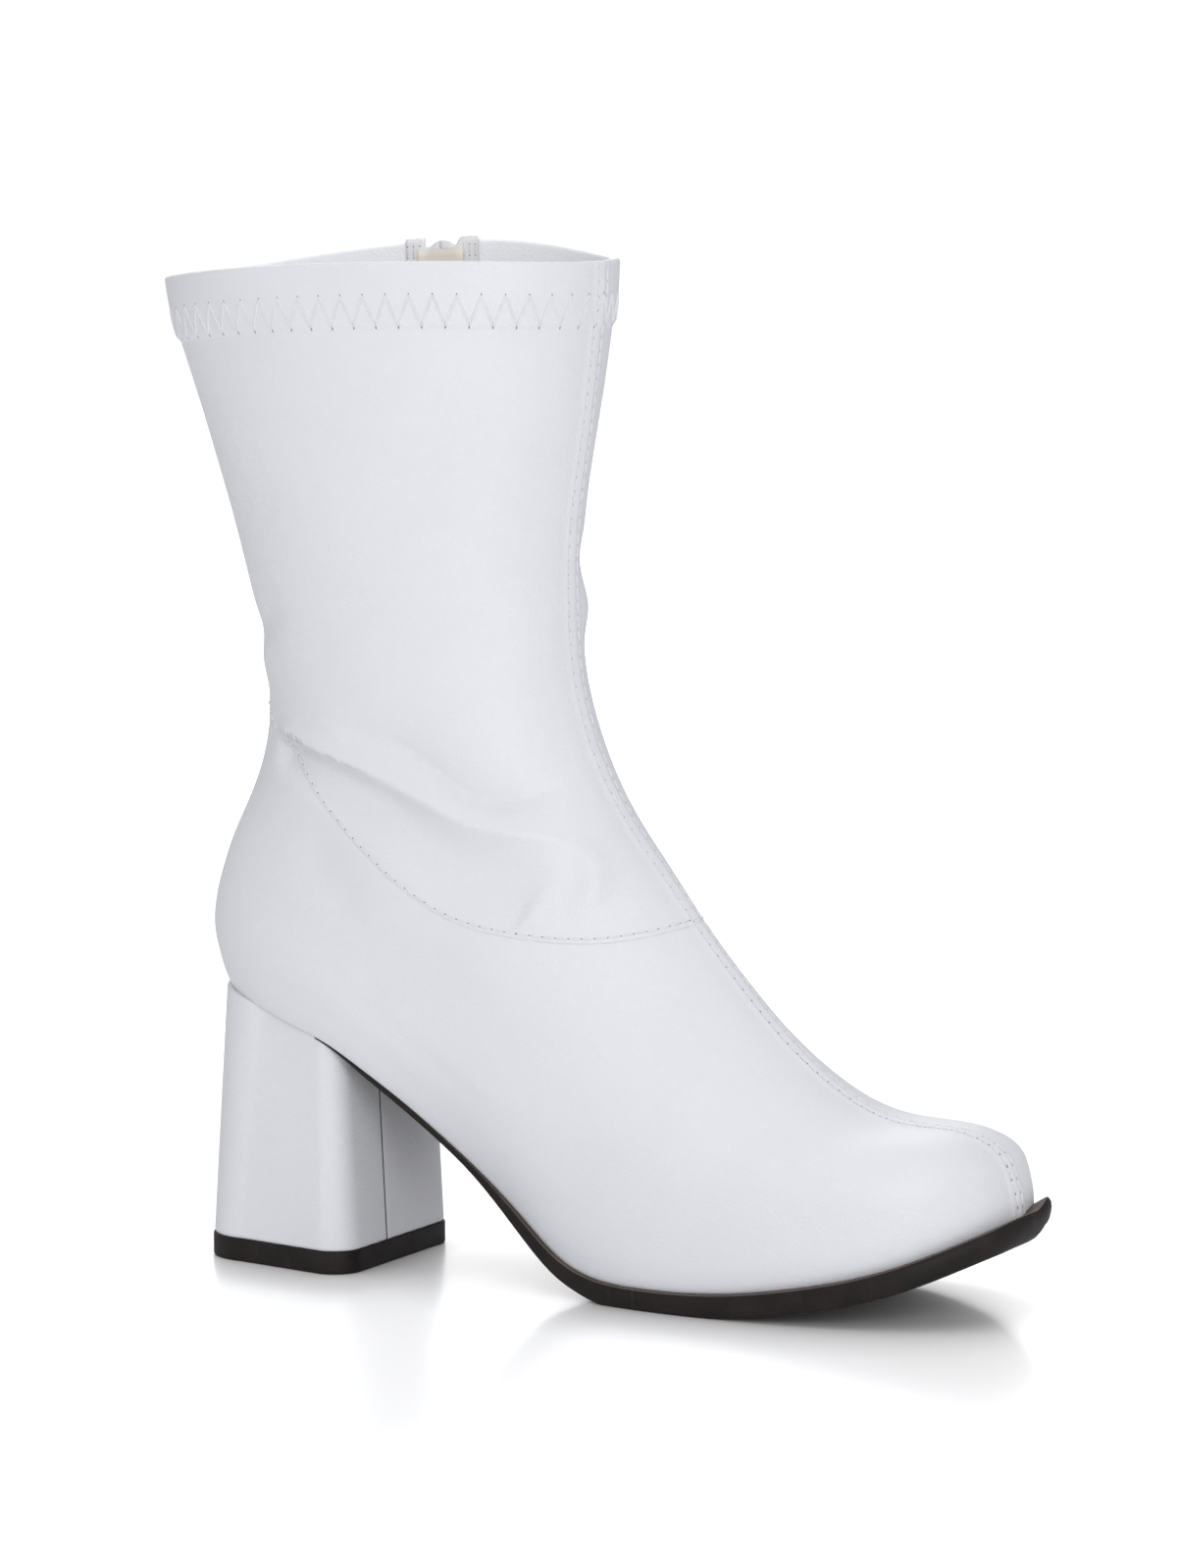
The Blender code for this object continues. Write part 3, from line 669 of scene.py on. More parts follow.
def wall(outer: Array, inner: Array, cells: Array) -> MeshData:
    """Closed wall between two sheets.

    Args:
        outer: Grid of points on the outer face, closed around its columns.
        inner: Matching grid on the inner face.
        cells: Which cells of the grid are there.

    Returns:
        The wall's mesh; the kinds are WallFace values.
    """
    rows, columns = outer.shape[:2]
    number = np.arange(rows * columns).reshape(rows, columns)
    under = rows * columns
    nxt = np.roll(number, -1, axis=1)
    ring = [number[:-1], number[1:], nxt[1:], nxt[:-1]]
    none = np.zeros((1, columns), bool)
    beyond = [
        np.roll(cells, 1, axis=1),
        np.vstack([cells[1:], none]),
        np.roll(cells, -1, axis=1),
        np.vstack([none, cells[:-1]]),
    ]
    quads = [np.stack([c[cells] for c in ring], 1)]
    quads.append(quads[0][:, ::-1] + under)
    kinds = [WallFace.OUTER.value] * len(quads[0]) + [WallFace.INNER.value] * len(quads[0])
    for k in range(4):
        edge = cells & ~beyond[k]
        a, b = ring[k][edge], ring[(k + 1) % 4][edge]
        quads.append(np.stack([b, a, a + under, b + under], 1))
        kinds += [WallFace.EDGE.value] * len(a)
    faces = np.vstack(quads)
    used, compact = np.unique(faces, return_inverse=True)
    verts = np.vstack([outer.reshape(-1, 3), inner.reshape(-1, 3)])[used]
    return MeshData(verts, compact.reshape(faces.shape).tolist(), kinds)


def strip(points: Array, normals: Array, depth_from: float, depth_to: float) -> MeshData:
    """Closed strip between two depths under an open sheet.

    Args:
        points: Grid of points on the sheet.
        normals: Outward normals there.
        depth_from: Depth of its outer face.
        depth_to: Depth of its inner face.

    Returns:
        The strip's mesh.
    """
    cells = np.zeros((points.shape[0] - 1, points.shape[1]), bool)
    cells[:, :-1] = True
    return wall(points - depth_from * normals, points - depth_to * normals, cells)


def ring_quads(rings: int, n: int) -> Faces:
    """Faces between rings of n points each that follow one another.

    Args:
        rings: Number of rings.
        n: Points in each.

    Returns:
        Quads, ring by ring.
    """
    faces: Faces = []
    for r in range(rings - 1):
        for i in range(n):
            a, b = r * n + i, r * n + (i + 1) % n
            faces.append([a, b, b + n, a + n])
    return faces


def tube_faces(rings: int, n: int) -> Faces:
    """Faces of a tube of rings of n points each, closed at both ends."""
    ends = [list(reversed(range(n))), list(range((rings - 1) * n, rings * n))]
    return ring_quads(rings, n) + ends


def flipped(faces: Faces) -> Faces:
    """The same faces, turned over."""
    return [face[::-1] for face in faces]


@dataclass
class MeshHeap:
    """Many small bodies gathered into one mesh."""

    verts: list[Array] = field(default_factory=list)
    faces: Faces = field(default_factory=list)
    count: int = 0

    def add(self, verts: Array, faces: Faces) -> None:
        """Adds a body, whose faces number its own vertices from 0.

        Args:
            verts: The body's vertices.
            faces: Its faces.
        """
        self.verts.append(verts)
        self.faces += [[self.count + i for i in face] for face in faces]
        self.count += len(verts)

    def mesh(self) -> MeshData:
        """The bodies as one mesh of a single kind."""
        return MeshData(np.vstack(self.verts), self.faces, [0] * len(self.faces))


def stacked_rings(rings: Sequence[Array]) -> MeshData:
    """Closed solid through rings that are mirror-ordered about their first point.

    Args:
        rings: Loops of the same even number of points, from one end to the other.

    Returns:
        The solid's mesh, each end closed across from side to side.
    """
    n = len(rings[0])
    faces = ring_quads(len(rings), n)
    for r, turn in ((0, -1), (len(rings) - 1, 1)):
        for i in range(n // 2):
            ends = [r * n + i, r * n + i + 1, r * n + n - i - 1, r * n + (n - i) % n]
            faces.append(list(dict.fromkeys(ends))[::turn])
    return MeshData(np.vstack(rings), faces, [0] * len(faces))


class NodeBench:
    """Lays out the nodes of one material or node group."""

    def __init__(self, tree: NodeTree) -> None:
        """Takes the tree that the nodes go into."""
        self.tree = tree

    def add(self, kind: str, **values: object) -> Node:
        """Adds a node.

        Args:
            kind: The node's type.
            **values: Its inputs by name, with _ for a space, each a value or a socket
                to link; names that aren't inputs are set as the node's own settings.

        Returns:
            The node.
        """
        node = self.tree.nodes.new(kind)
        for name, value in values.items():
            if hasattr(node, name):
                setattr(node, name, value)
        for name, value in values.items():
            if not hasattr(node, name):
                self.feed(node.inputs[name.replace("_", " ")], value)
        return node

    def feed(self, socket: Socket, value: object) -> None:
        """Links a socket to an input, or sets its value.

        Args:
            socket: The input.
            value: A value, or a socket to link.
        """
        if isinstance(value, Socket):
            self.tree.links.new(value, socket)
        else:
            socket.default_value = value

    def math(self, operation: str, a: object, b: object = 0.0) -> Socket:
        """Result of a Math node on two values or sockets.

        Args:
            operation: The node's operation.
            a: First value or socket.
            b: Second value or socket.

        Returns:
            The result's socket.
        """
        node = self.add("ShaderNodeMath", operation=operation)
        self.feed(node.inputs[0], a)
        self.feed(node.inputs[1], b)
        return node.outputs[0]

    def blend(self, share: object, a: object, b: object) -> Socket:
        """Colour between a and b.

        Args:
            share: Share of b.
            a: First colour.
            b: Second colour.

        Returns:
            The colour's socket.
        """
        node = self.add("ShaderNodeMix", data_type="RGBA")
        self.feed(node.inputs[0], share)
        self.feed(node.inputs[6], a)
        self.feed(node.inputs[7], b)
        return node.outputs[2]

    def spread(self, value: object, low: float, high: float) -> Socket:
        """A share from 0 to 1 spread between two values."""
        return self.add("ShaderNodeMapRange", Value=value, To_Min=low, To_Max=high).outputs[0]

    def window(self, value: object, low: float, high: float) -> Socket:
        """A share from 0 where a value is low to 1 where it is high."""
        node = self.add("ShaderNodeMapRange", Value=value, From_Min=low, From_Max=high)
        return node.outputs[0]

    def noise(self, vector: object, scale: object, **values: float) -> Socket:
        """Value of a Noise Texture node."""
        node = self.add("ShaderNodeTexNoise", Vector=vector, Scale=scale, **values)
        return node.outputs[0]


class Effect(Enum):
    """Shared surface effects, each a node group."""

    GRAIN = "leather_grain"
    WEAVE = "cloth_weave"
    SCUFF = "fine_scuffs"


Sockets = dict[str, Socket]


class EffectShelf:
    """Makes each shared effect once and places it in materials."""

    def __init__(self) -> None:
        """Starts with no effect made."""
        self.made: dict[Effect, NodeTree] = {}

    def group(self, effect: Effect) -> NodeTree:
        """The node group of an effect, made on first use.

        Args:
            effect: The effect.

        Returns:
            Its node group.
        """
        if effect not in self.made:
            tree = bpy.data.node_groups.new(effect.value, "ShaderNodeTree")
            makers = {Effect.GRAIN: self.grain, Effect.WEAVE: self.weave, Effect.SCUFF: self.scuff}
            makers[effect](tree)
            self.made[effect] = tree
        return self.made[effect]

    def put(self, bench: NodeBench, effect: Effect, **values: object) -> Node:
        """Places an effect in a material, over the object's own coordinates.

        Args:
            bench: Bench on the material.
            effect: The effect.
            **values: Its inputs by name.

        Returns:
            The group's node.
        """
        node = bench.add("ShaderNodeGroup", node_tree=self.group(effect))
        place_node = bench.add("ShaderNodeTexCoord")
        bench.feed(node.inputs["Vector"], place_node.outputs["Object"])
        for name, value in values.items():
            bench.feed(node.inputs[name], value)
        return node

    @staticmethod
    def sockets(
        tree: NodeTree, inputs: Sequence[str], outputs: Sequence[str]
    ) -> tuple[NodeBench, Sockets, Sockets]:
        """Gives a group its sockets.

        Args:
            tree: The node group.
            inputs: Names of its value inputs, after Vector.
            outputs: Names of its value outputs.

        Returns:
            A bench on the group, its inputs as sockets to read, and its outputs as
            sockets to feed, by name.
        """
        tree.interface.new_socket("Vector", in_out="INPUT", socket_type="NodeSocketVector")
        for name in inputs:
            tree.interface.new_socket(name, in_out="INPUT", socket_type="NodeSocketFloat")
        for name in outputs:
            tree.interface.new_socket(name, in_out="OUTPUT", socket_type="NodeSocketFloat")
        bench = NodeBench(tree)
        source, sink = bench.add("NodeGroupInput"), bench.add("NodeGroupOutput")
        return bench, {s.name: s for s in source.outputs}, {s.name: s for s in sink.inputs}

    def grain(self, tree: NodeTree) -> None:
        """Fine pebbled grain: heights of the pebbles, and slow changes of tone.

        Args:
            tree: The node group.
        """
        bench, read, out = self.sockets(tree, ("Pebbles", "Clouds"), ("Height", "Tone"))
        vector, pebbles = read["Vector"], read["Pebbles"]
        warp = bench.add("ShaderNodeTexNoise", Vector=vector, Scale=pebbles, Detail=2.0)
        moved = bench.add("ShaderNodeVectorMath", operation="SCALE", Scale=0.0004)
        bench.feed(moved.inputs[0], warp.outputs["Color"])
        shifted = bench.add("ShaderNodeVectorMath", operation="ADD")
        bench.feed(shifted.inputs[0], vector)
        bench.feed(shifted.inputs[1], moved.outputs[0])
        pebble = bench.add(
            "ShaderNodeTexVoronoi",
            feature="SMOOTH_F1",
            Vector=shifted.outputs[0],
            Scale=pebbles,
            Smoothness=0.6,
        )
        fine = bench.noise(vector, bench.math("MULTIPLY", pebbles, 3.0))
        fine = bench.math("MULTIPLY", fine, 0.35)
        bench.feed(out["Height"], bench.math("SUBTRACT", fine, pebble.outputs["Distance"]))
        clouds = bench.noise(vector, read["Clouds"], Detail=4.0, Roughness=0.55)
        bench.feed(out["Tone"], clouds)

    def weave(self, tree: NodeTree) -> None:
        """Plain weave of two crossing sets of yarns.

        Args:
            tree: The node group.
        """
        bench, read, out = self.sockets(tree, ("Yarns", "Clouds"), ("Height", "Tone"))
        parts = bench.add("ShaderNodeSeparateXYZ", Vector=read["Vector"])
        turn = bench.math("MULTIPLY", read["Yarns"], 2 * math.pi)
        wefts = bench.math("SINE", bench.math("MULTIPLY", parts.outputs["Z"], turn))
        level = bench.math("ADD", parts.outputs["X"], parts.outputs["Y"])
        warps = bench.math("SINE", bench.math("MULTIPLY", level, turn))
        crossing = bench.math("MULTIPLY", wefts, warps)
        clouds = bench.noise(read["Vector"], read["Clouds"], Detail=3.0)
        fuzz = bench.math("MULTIPLY", clouds, 0.5)
        bench.feed(out["Height"], bench.math("ADD", bench.math("MULTIPLY", crossing, 0.5), fuzz))
        bench.feed(out["Tone"], bench.math("ADD", bench.math("MULTIPLY", crossing, 0.2), fuzz))

    def scuff(self, tree: NodeTree) -> None:
        """Sparse upright scratches and rubbed patches, as masks from 0 to 1.

        Args:
            tree: The node group.
        """
        bench, read, out = self.sockets(tree, ("Scratches", "Patches"), ("Scratch", "Rub"))
        squeezed = bench.add("ShaderNodeMapping", Vector=read["Vector"], Scale=(1.0, 1.0, 0.12))
        lines = bench.noise(squeezed.outputs[0], read["Scratches"], Detail=4.0, Roughness=0.7)
        patches = bench.noise(read["Vector"], read["Patches"], Detail=5.0, Roughness=0.6)
        bench.feed(out["Scratch"], bench.window(lines, 0.58, 0.72))
        bench.feed(out["Rub"], bench.window(patches, 0.42, 0.7))


EFFECTS = EffectShelf()


def rgba(colour: Colour) -> tuple[float, float, float, float]:
    """Colour with full alpha."""
    return (*colour, 1.0)


def new_material(name: str) -> tuple[Material, NodeBench, Node]:
    """Empty material with its Principled shader.

    Args:
        name: The material's name.

    Returns:
        The material, a bench on its nodes, and the shader.
    """
    material = bpy.data.materials.new(name)
    material.use_nodes = True
    return material, NodeBench(material.node_tree), material.node_tree.nodes["Principled BSDF"]


def raise_bump(
    bench: NodeBench, shader: Node, height: Socket, depth: float
) -> None:
    """Gives a shader a bump of a depth in metres."""
    bump = bench.add("ShaderNodeBump", Strength=1.0, Distance=depth, Height=height)
    bench.feed(shader.inputs["Normal"], bump.outputs["Normal"])


@dataclass(frozen=True)
class TonedFinish:
    """Finish whose colour and gloss follow the tone of one effect, over its relief."""

    name: str
    colour: Colour
    shade: Colour
    gloss: Pair = (0.42, 0.52)
    depth: float = 0.00009

    def toned(self, effect: Effect, plain: dict[str, float], **scales: float) -> Material:
        """Material that follows an effect.

        Args:
            effect: The effect.
            plain: The shader's inputs that are the same all over.
            **scales: The effect's own inputs.

        Returns:
            The material.
        """
        material, bench, shader = new_material(self.name)
        node = EFFECTS.put(bench, effect, **scales)
        tone = node.outputs["Tone"]
        colour = bench.blend(tone, rgba(self.shade), rgba(self.colour))
        bench.feed(shader.inputs["Base Color"], colour)
        bench.feed(shader.inputs["Roughness"], bench.spread(tone, *self.gloss))
        raise_bump(bench, shader, node.outputs["Height"], self.depth)
        for socket, value in plain.items():
            shader.inputs[socket].default_value = value
        return material


@dataclass(frozen=True)
class CoatedLeather(TonedFinish):
    """Satin coated leather with a fine pebbled grain."""

    pebbles: float = 1500.0
    clouds: float = 38.0
    specular: float = 0.45

    def material(self) -> Material:
        """The finish as a material."""
        plain = {"Specular IOR Level": self.specular}
        return self.toned(Effect.GRAIN, plain, Pebbles=self.pebbles, Clouds=self.clouds)


@dataclass(frozen=True)
class WovenCloth(TonedFinish):
    """Woven cloth: tape, lining and thread."""

    gloss: Pair = (0.72, 0.92)
    depth: float = 0.0001
    yarns: float = 1500.0
    clouds: float = 220.0
    sheen: float = 0.2

    def material(self) -> Material:
        """The finish as a material."""
        plain = {"Sheen Weight": self.sheen}
        return self.toned(Effect.WEAVE, plain, Yarns=self.yarns, Clouds=self.clouds)


@dataclass(frozen=True)
class MouldedPlastic(TonedFinish):
    """Nylon of the zip's coil."""

    gloss: Pair = (0.3, 0.45)
    depth: float = 0.00002
    pebbles: float = 2500.0
    clouds: float = 300.0

    def material(self) -> Material:
        """The finish as a material."""
        return self.toned(Effect.GRAIN, {}, Pebbles=self.pebbles, Clouds=self.clouds)


@dataclass(frozen=True)
class SoleRubber:
    """Dark moulded rubber, rubbed paler in patches and lightly scratched."""

    name: str
    colour: Colour
    rubbed: Colour
    gloss: Pair = (0.5, 0.7)
    depth: float = 0.00004
    specular: float = 0.2
    scratch_share: float = 0.7
    wear_share: float = 0.4

    def material(self) -> Material:
        """The finish as a material.

        Returns:
            The material.
        """
        material, bench, shader = new_material(self.name)
        wear = EFFECTS.put(bench, Effect.SCUFF, Scratches=420.0, Patches=90.0)
        scratches = bench.math("MULTIPLY", wear.outputs["Scratch"], self.scratch_share)
        marks = bench.math("ADD", scratches, wear.outputs["Rub"])
        share = bench.math("MULTIPLY", marks, self.wear_share)
        colour = bench.blend(share, rgba(self.colour), rgba(self.rubbed))
        bench.feed(shader.inputs["Base Color"], colour)
        bench.feed(shader.inputs["Roughness"], bench.spread(wear.outputs["Rub"], *self.gloss))
        grain = EFFECTS.put(bench, Effect.GRAIN, Pebbles=1100.0, Clouds=60.0)
        shader.inputs["Specular IOR Level"].default_value = self.specular
        raise_bump(bench, shader, grain.outputs["Height"], self.depth)
        return material


@dataclass(frozen=True)
class PlatedMetal:
    """Plated zinc of the slider and its tab, with hairline scratches."""

    name: str
    colour: Colour
    worn: Colour
    gloss: Pair = (0.2, 0.4)
    depth: float = 0.00001

    def material(self) -> Material:
        """The finish as a material.

        Returns:
            The material.
        """
        material, bench, shader = new_material(self.name)
        wear = EFFECTS.put(bench, Effect.SCUFF, Scratches=2600.0, Patches=400.0)
        scratch = wear.outputs["Scratch"]
        colour = bench.blend(scratch, rgba(self.colour), rgba(self.worn))
        bench.feed(shader.inputs["Base Color"], colour)
        bench.feed(shader.inputs["Roughness"], bench.spread(wear.outputs["Rub"], *self.gloss))
        shader.inputs["Metallic"].default_value = 1.0
        raise_bump(bench, shader, scratch, self.depth)
        return material


Finish = CoatedLeather | SoleRubber | WovenCloth | PlatedMetal | MouldedPlastic

WHITE = (0.70, 0.705, 0.74)
WHITE_SHADE = (0.66, 0.665, 0.70)
WHITE_LEATHER = CoatedLeather("white_coated_leather", WHITE, WHITE_SHADE)
# Brighter copy of the white leather for the hem's facing: painted light where light falls inside
# the collar
PAINTED_LIGHT_FACING = CoatedLeather("hem_facing_painted_light", (0.92, 0.94, 0.98), (0.88, 0.90, 0.95))
HEEL_LEATHER = CoatedLeather("white_heel_cover", WHITE, WHITE_SHADE, (0.5, 0.6))
DARK_SOLE = SoleRubber("dark_sole_rubber", (0.009, 0.0065, 0.006), (0.034, 0.026, 0.024))
# Paler finish of the outsole's top rim and top face: a painted highlight where they face the light
# from above; its paler patches are wear
SOLE_RIM_HIGHLIGHT = SoleRubber("sole_rim_painted_highlight", (0.085, 0.066, 0.060), (0.17, 0.145, 0.135))
BEIGE_LINING = WovenCloth("beige_knit_lining", (0.58, 0.46, 0.36), (0.44, 0.34, 0.26), yarns=1100.0)
WHITE_TAPE = WovenCloth("white_zip_tape", (0.93, 0.93, 0.95), (0.82, 0.82, 0.85), yarns=1700.0)
WHITE_THREAD = WovenCloth(
    "white_thread", (0.86, 0.86, 0.89), (0.66, 0.66, 0.70), yarns=2600.0, depth=0.00004
)
# Dark finish of the needle-hole lenses: painted shade standing for the shadow inside each hole
NEEDLE_HOLE_SHADE = CoatedLeather("needle_hole_painted_shade", (0.24, 0.23, 0.25), (0.16, 0.15, 0.17), (0.7, 0.85))
# Dark finish of the heel cover's seam groove: painted shade in the groove
SEAM_GROOVE_SHADE = CoatedLeather("cover_seam_painted_shade", (0.09, 0.09, 0.10), (0.06, 0.06, 0.07), (0.8, 0.9))
GUARD_CLOTH = WovenCloth("cream_guard_cloth", (0.94, 0.90, 0.83), (0.86, 0.81, 0.73))
BRIGHT_PLATE = PlatedMetal("nickel_plate", (0.74, 0.73, 0.72), (0.5, 0.49, 0.48))
WHITE_NYLON = MouldedPlastic("white_nylon_coil", (0.85, 0.85, 0.88), (0.74, 0.74, 0.78))


class Wardrobe:
    """Makes each finish once and dresses pieces in them."""

    def __init__(self) -> None:
        """Starts with no finish made."""
        self.made: dict[str, Material] = {}

    def material(self, finish: Finish) -> Material:
        """The material of a finish, made on first use.

        Args:
            finish: The finish.

        Returns:
            Its material.
        """
        if finish.name not in self.made:
            self.made[finish.name] = finish.material()
        return self.made[finish.name]

    def dress(
        self,
        name: str,
        mesh: MeshData,
        finishes: Sequence[Finish],
        replaces: Sequence[str] = (),
        body: Body = Body.BOOT,
    ) -> bpy.types.Object:
        """Makes a piece of the boot and hands it to the frame.

        Args:
            name: The piece's name.
            mesh: Its mesh in millimetres; the kinds number the finishes.
            finishes: Its finishes.
            replaces: CAD nodes that it stands for.
            body: The body that it rides on.

        Returns:
            The piece.
        """
        data = bpy.data.meshes.new(name)
        data.from_pydata(place(mesh.verts).tolist(), [], mesh.faces)
        data.polygons.foreach_set("use_smooth", [True] * len(mesh.faces))
        data.polygons.foreach_set("material_index", mesh.kinds)
        for finish in finishes:
            data.materials.append(self.material(finish))
        data.update()
        piece = bpy.data.objects.new(name, data)
        bpy.context.scene.collection.objects.link(piece)
        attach(piece, body.value)
        if replaces:
            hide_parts(*replaces)
        log.info("%s: %d faces", name, len(mesh.faces))
        return piece


WARDROBE = Wardrobe()


def slow_waves(sheet: Sheet, height: float) -> Array:
    """Gentle waviness of leather that stands without a foot in it.

    Args:
        sheet: The form's surface.
        height: Height of the waves.

    Returns:
        Distance outwards at each point.
    """
    x, y, z = np.moveaxis(sheet.points, -1, 0)
    first = np.sin(x / 11.0 + z / 17.0 + 0.6) * np.sin(z / 13.0 - y / 21.0)
    second = np.sin(x / 7.3 - z / 9.1 + y / 12.0 + 1.9)
    return height * (0.65 * first + 0.35 * second)


def edge_round(distance: Array, radius: float) -> Array:
    """How far a face turns in at a distance from a rounded edge."""
    d = np.clip(distance, 0, radius)
    return radius - np.sqrt(np.maximum(radius**2 - (radius - d) ** 2, 0))


@dataclass(frozen=True)
class Relief:
    """Relief of the leather: its seams and folds, and how much of them shows inside."""

    band: float = 0.42
    band_edge: Pair = (2.7, 4.4)
    crest: float = 0.22
    crest_width: float = 0.8
    row_dip: float = 0.16
    row_width: float = 0.4
    ankle_dip: float = 0.12
    edge_width: float = 0.7
    inside: float = 0.8

    def front_seam(self, sheet: Sheet) -> Array:
        """Raised band of the front seam, with a soft crest and a dip along each stitch row.

        Args:
            sheet: The form's surface.

        Returns:
            Distance outwards at each point.
        """
        band = self.band * (1 - smoothstep(*self.band_edge, sheet.arc))
        crest = self.crest * bell(sheet.arc, self.crest_width)
        rows = self.row_dip * bell(sheet.arc - FRONT_STEPS[STITCH_COLUMN], self.row_width)
        return band + crest - rows

    def lift(self, sheet: Sheet, waves: float, from_seam: Array) -> Array:
        """How far the leather stands off the form.

        Args:
            sheet: The form's surface.
            waves: Height of the slow waves.
            from_seam: Distance of each point from the ankle seam.

        Returns:
            Distance outwards at each point.
        """
        lift = self.front_seam(sheet) + slow_waves(sheet, waves)
        lift -= self.ankle_dip * bell(from_seam, self.edge_width)
        for fold in OUTER_FOLDS + INNER_FOLDS:
            lift += fold.lift(sheet)
        return lift


RELIEF = Relief()


@dataclass
class FootPart:
    """Vamp and quarters, from the sole to the ankle seam."""

    form: FormGrid
    thick: float = 2.0
    waves: float = 0.2
    sole_dip: float = 0.06
    into_sole: float = 0.12
    body_rows: int = 84
    sole_steps: Steps = (0.0, 0.4, 0.9, 1.5, 2.2, 3.0)
    seam_steps: Steps = (6.0, 5.0, 4.1, 3.3, 2.6, 2.0, 1.5, 1.0, 0.6, 0.3, 0.0)
    skin: Sheet = field(init=False)

    def stations(self) -> Array:
        """Rows up each column, close together at the sole and at the seam.

        Returns:
            Distances from the feather line, by row and column.
        """
        top = self.form.seam
        rows = [np.full(top.shape, s) for s in self.sole_steps]
        share = np.linspace(0, 1, self.body_rows)[1:-1]
        low = self.sole_steps[-1]
        rows += [low + s * (top - self.seam_steps[0] - low) for s in share]
        rows += [top - s for s in self.seam_steps]
        return np.array(rows)

    def build(self) -> None:
        """Makes the foot part."""
        stations = self.stations()
        sheet = self.form.read(stations)
        lift = RELIEF.lift(sheet, self.waves, self.form.seam - stations)
        lift -= self.sole_dip * bell(stations, RELIEF.edge_width)
        outer = sheet.moved(lift)
        inner = sheet.moved(RELIEF.inside * lift - self.thick)
        for rim in (outer[0], inner[0]):
            rim[:, 2] = self.form.last.seat_z(rim[:, 0]) - self.into_sole
        self.skin = sheet.reshaped(outer)
        mesh = wall(outer, inner, np.ones((len(stations) - 1, outer.shape[1]), bool))
        mesh = mesh._replace(kinds=[int(k == WallFace.INNER.value) for k in mesh.kinds])
        finishes = (WHITE_LEATHER, BEIGE_LINING)
        WARDROBE.dress("foot_part", mesh, finishes, ("upper",))


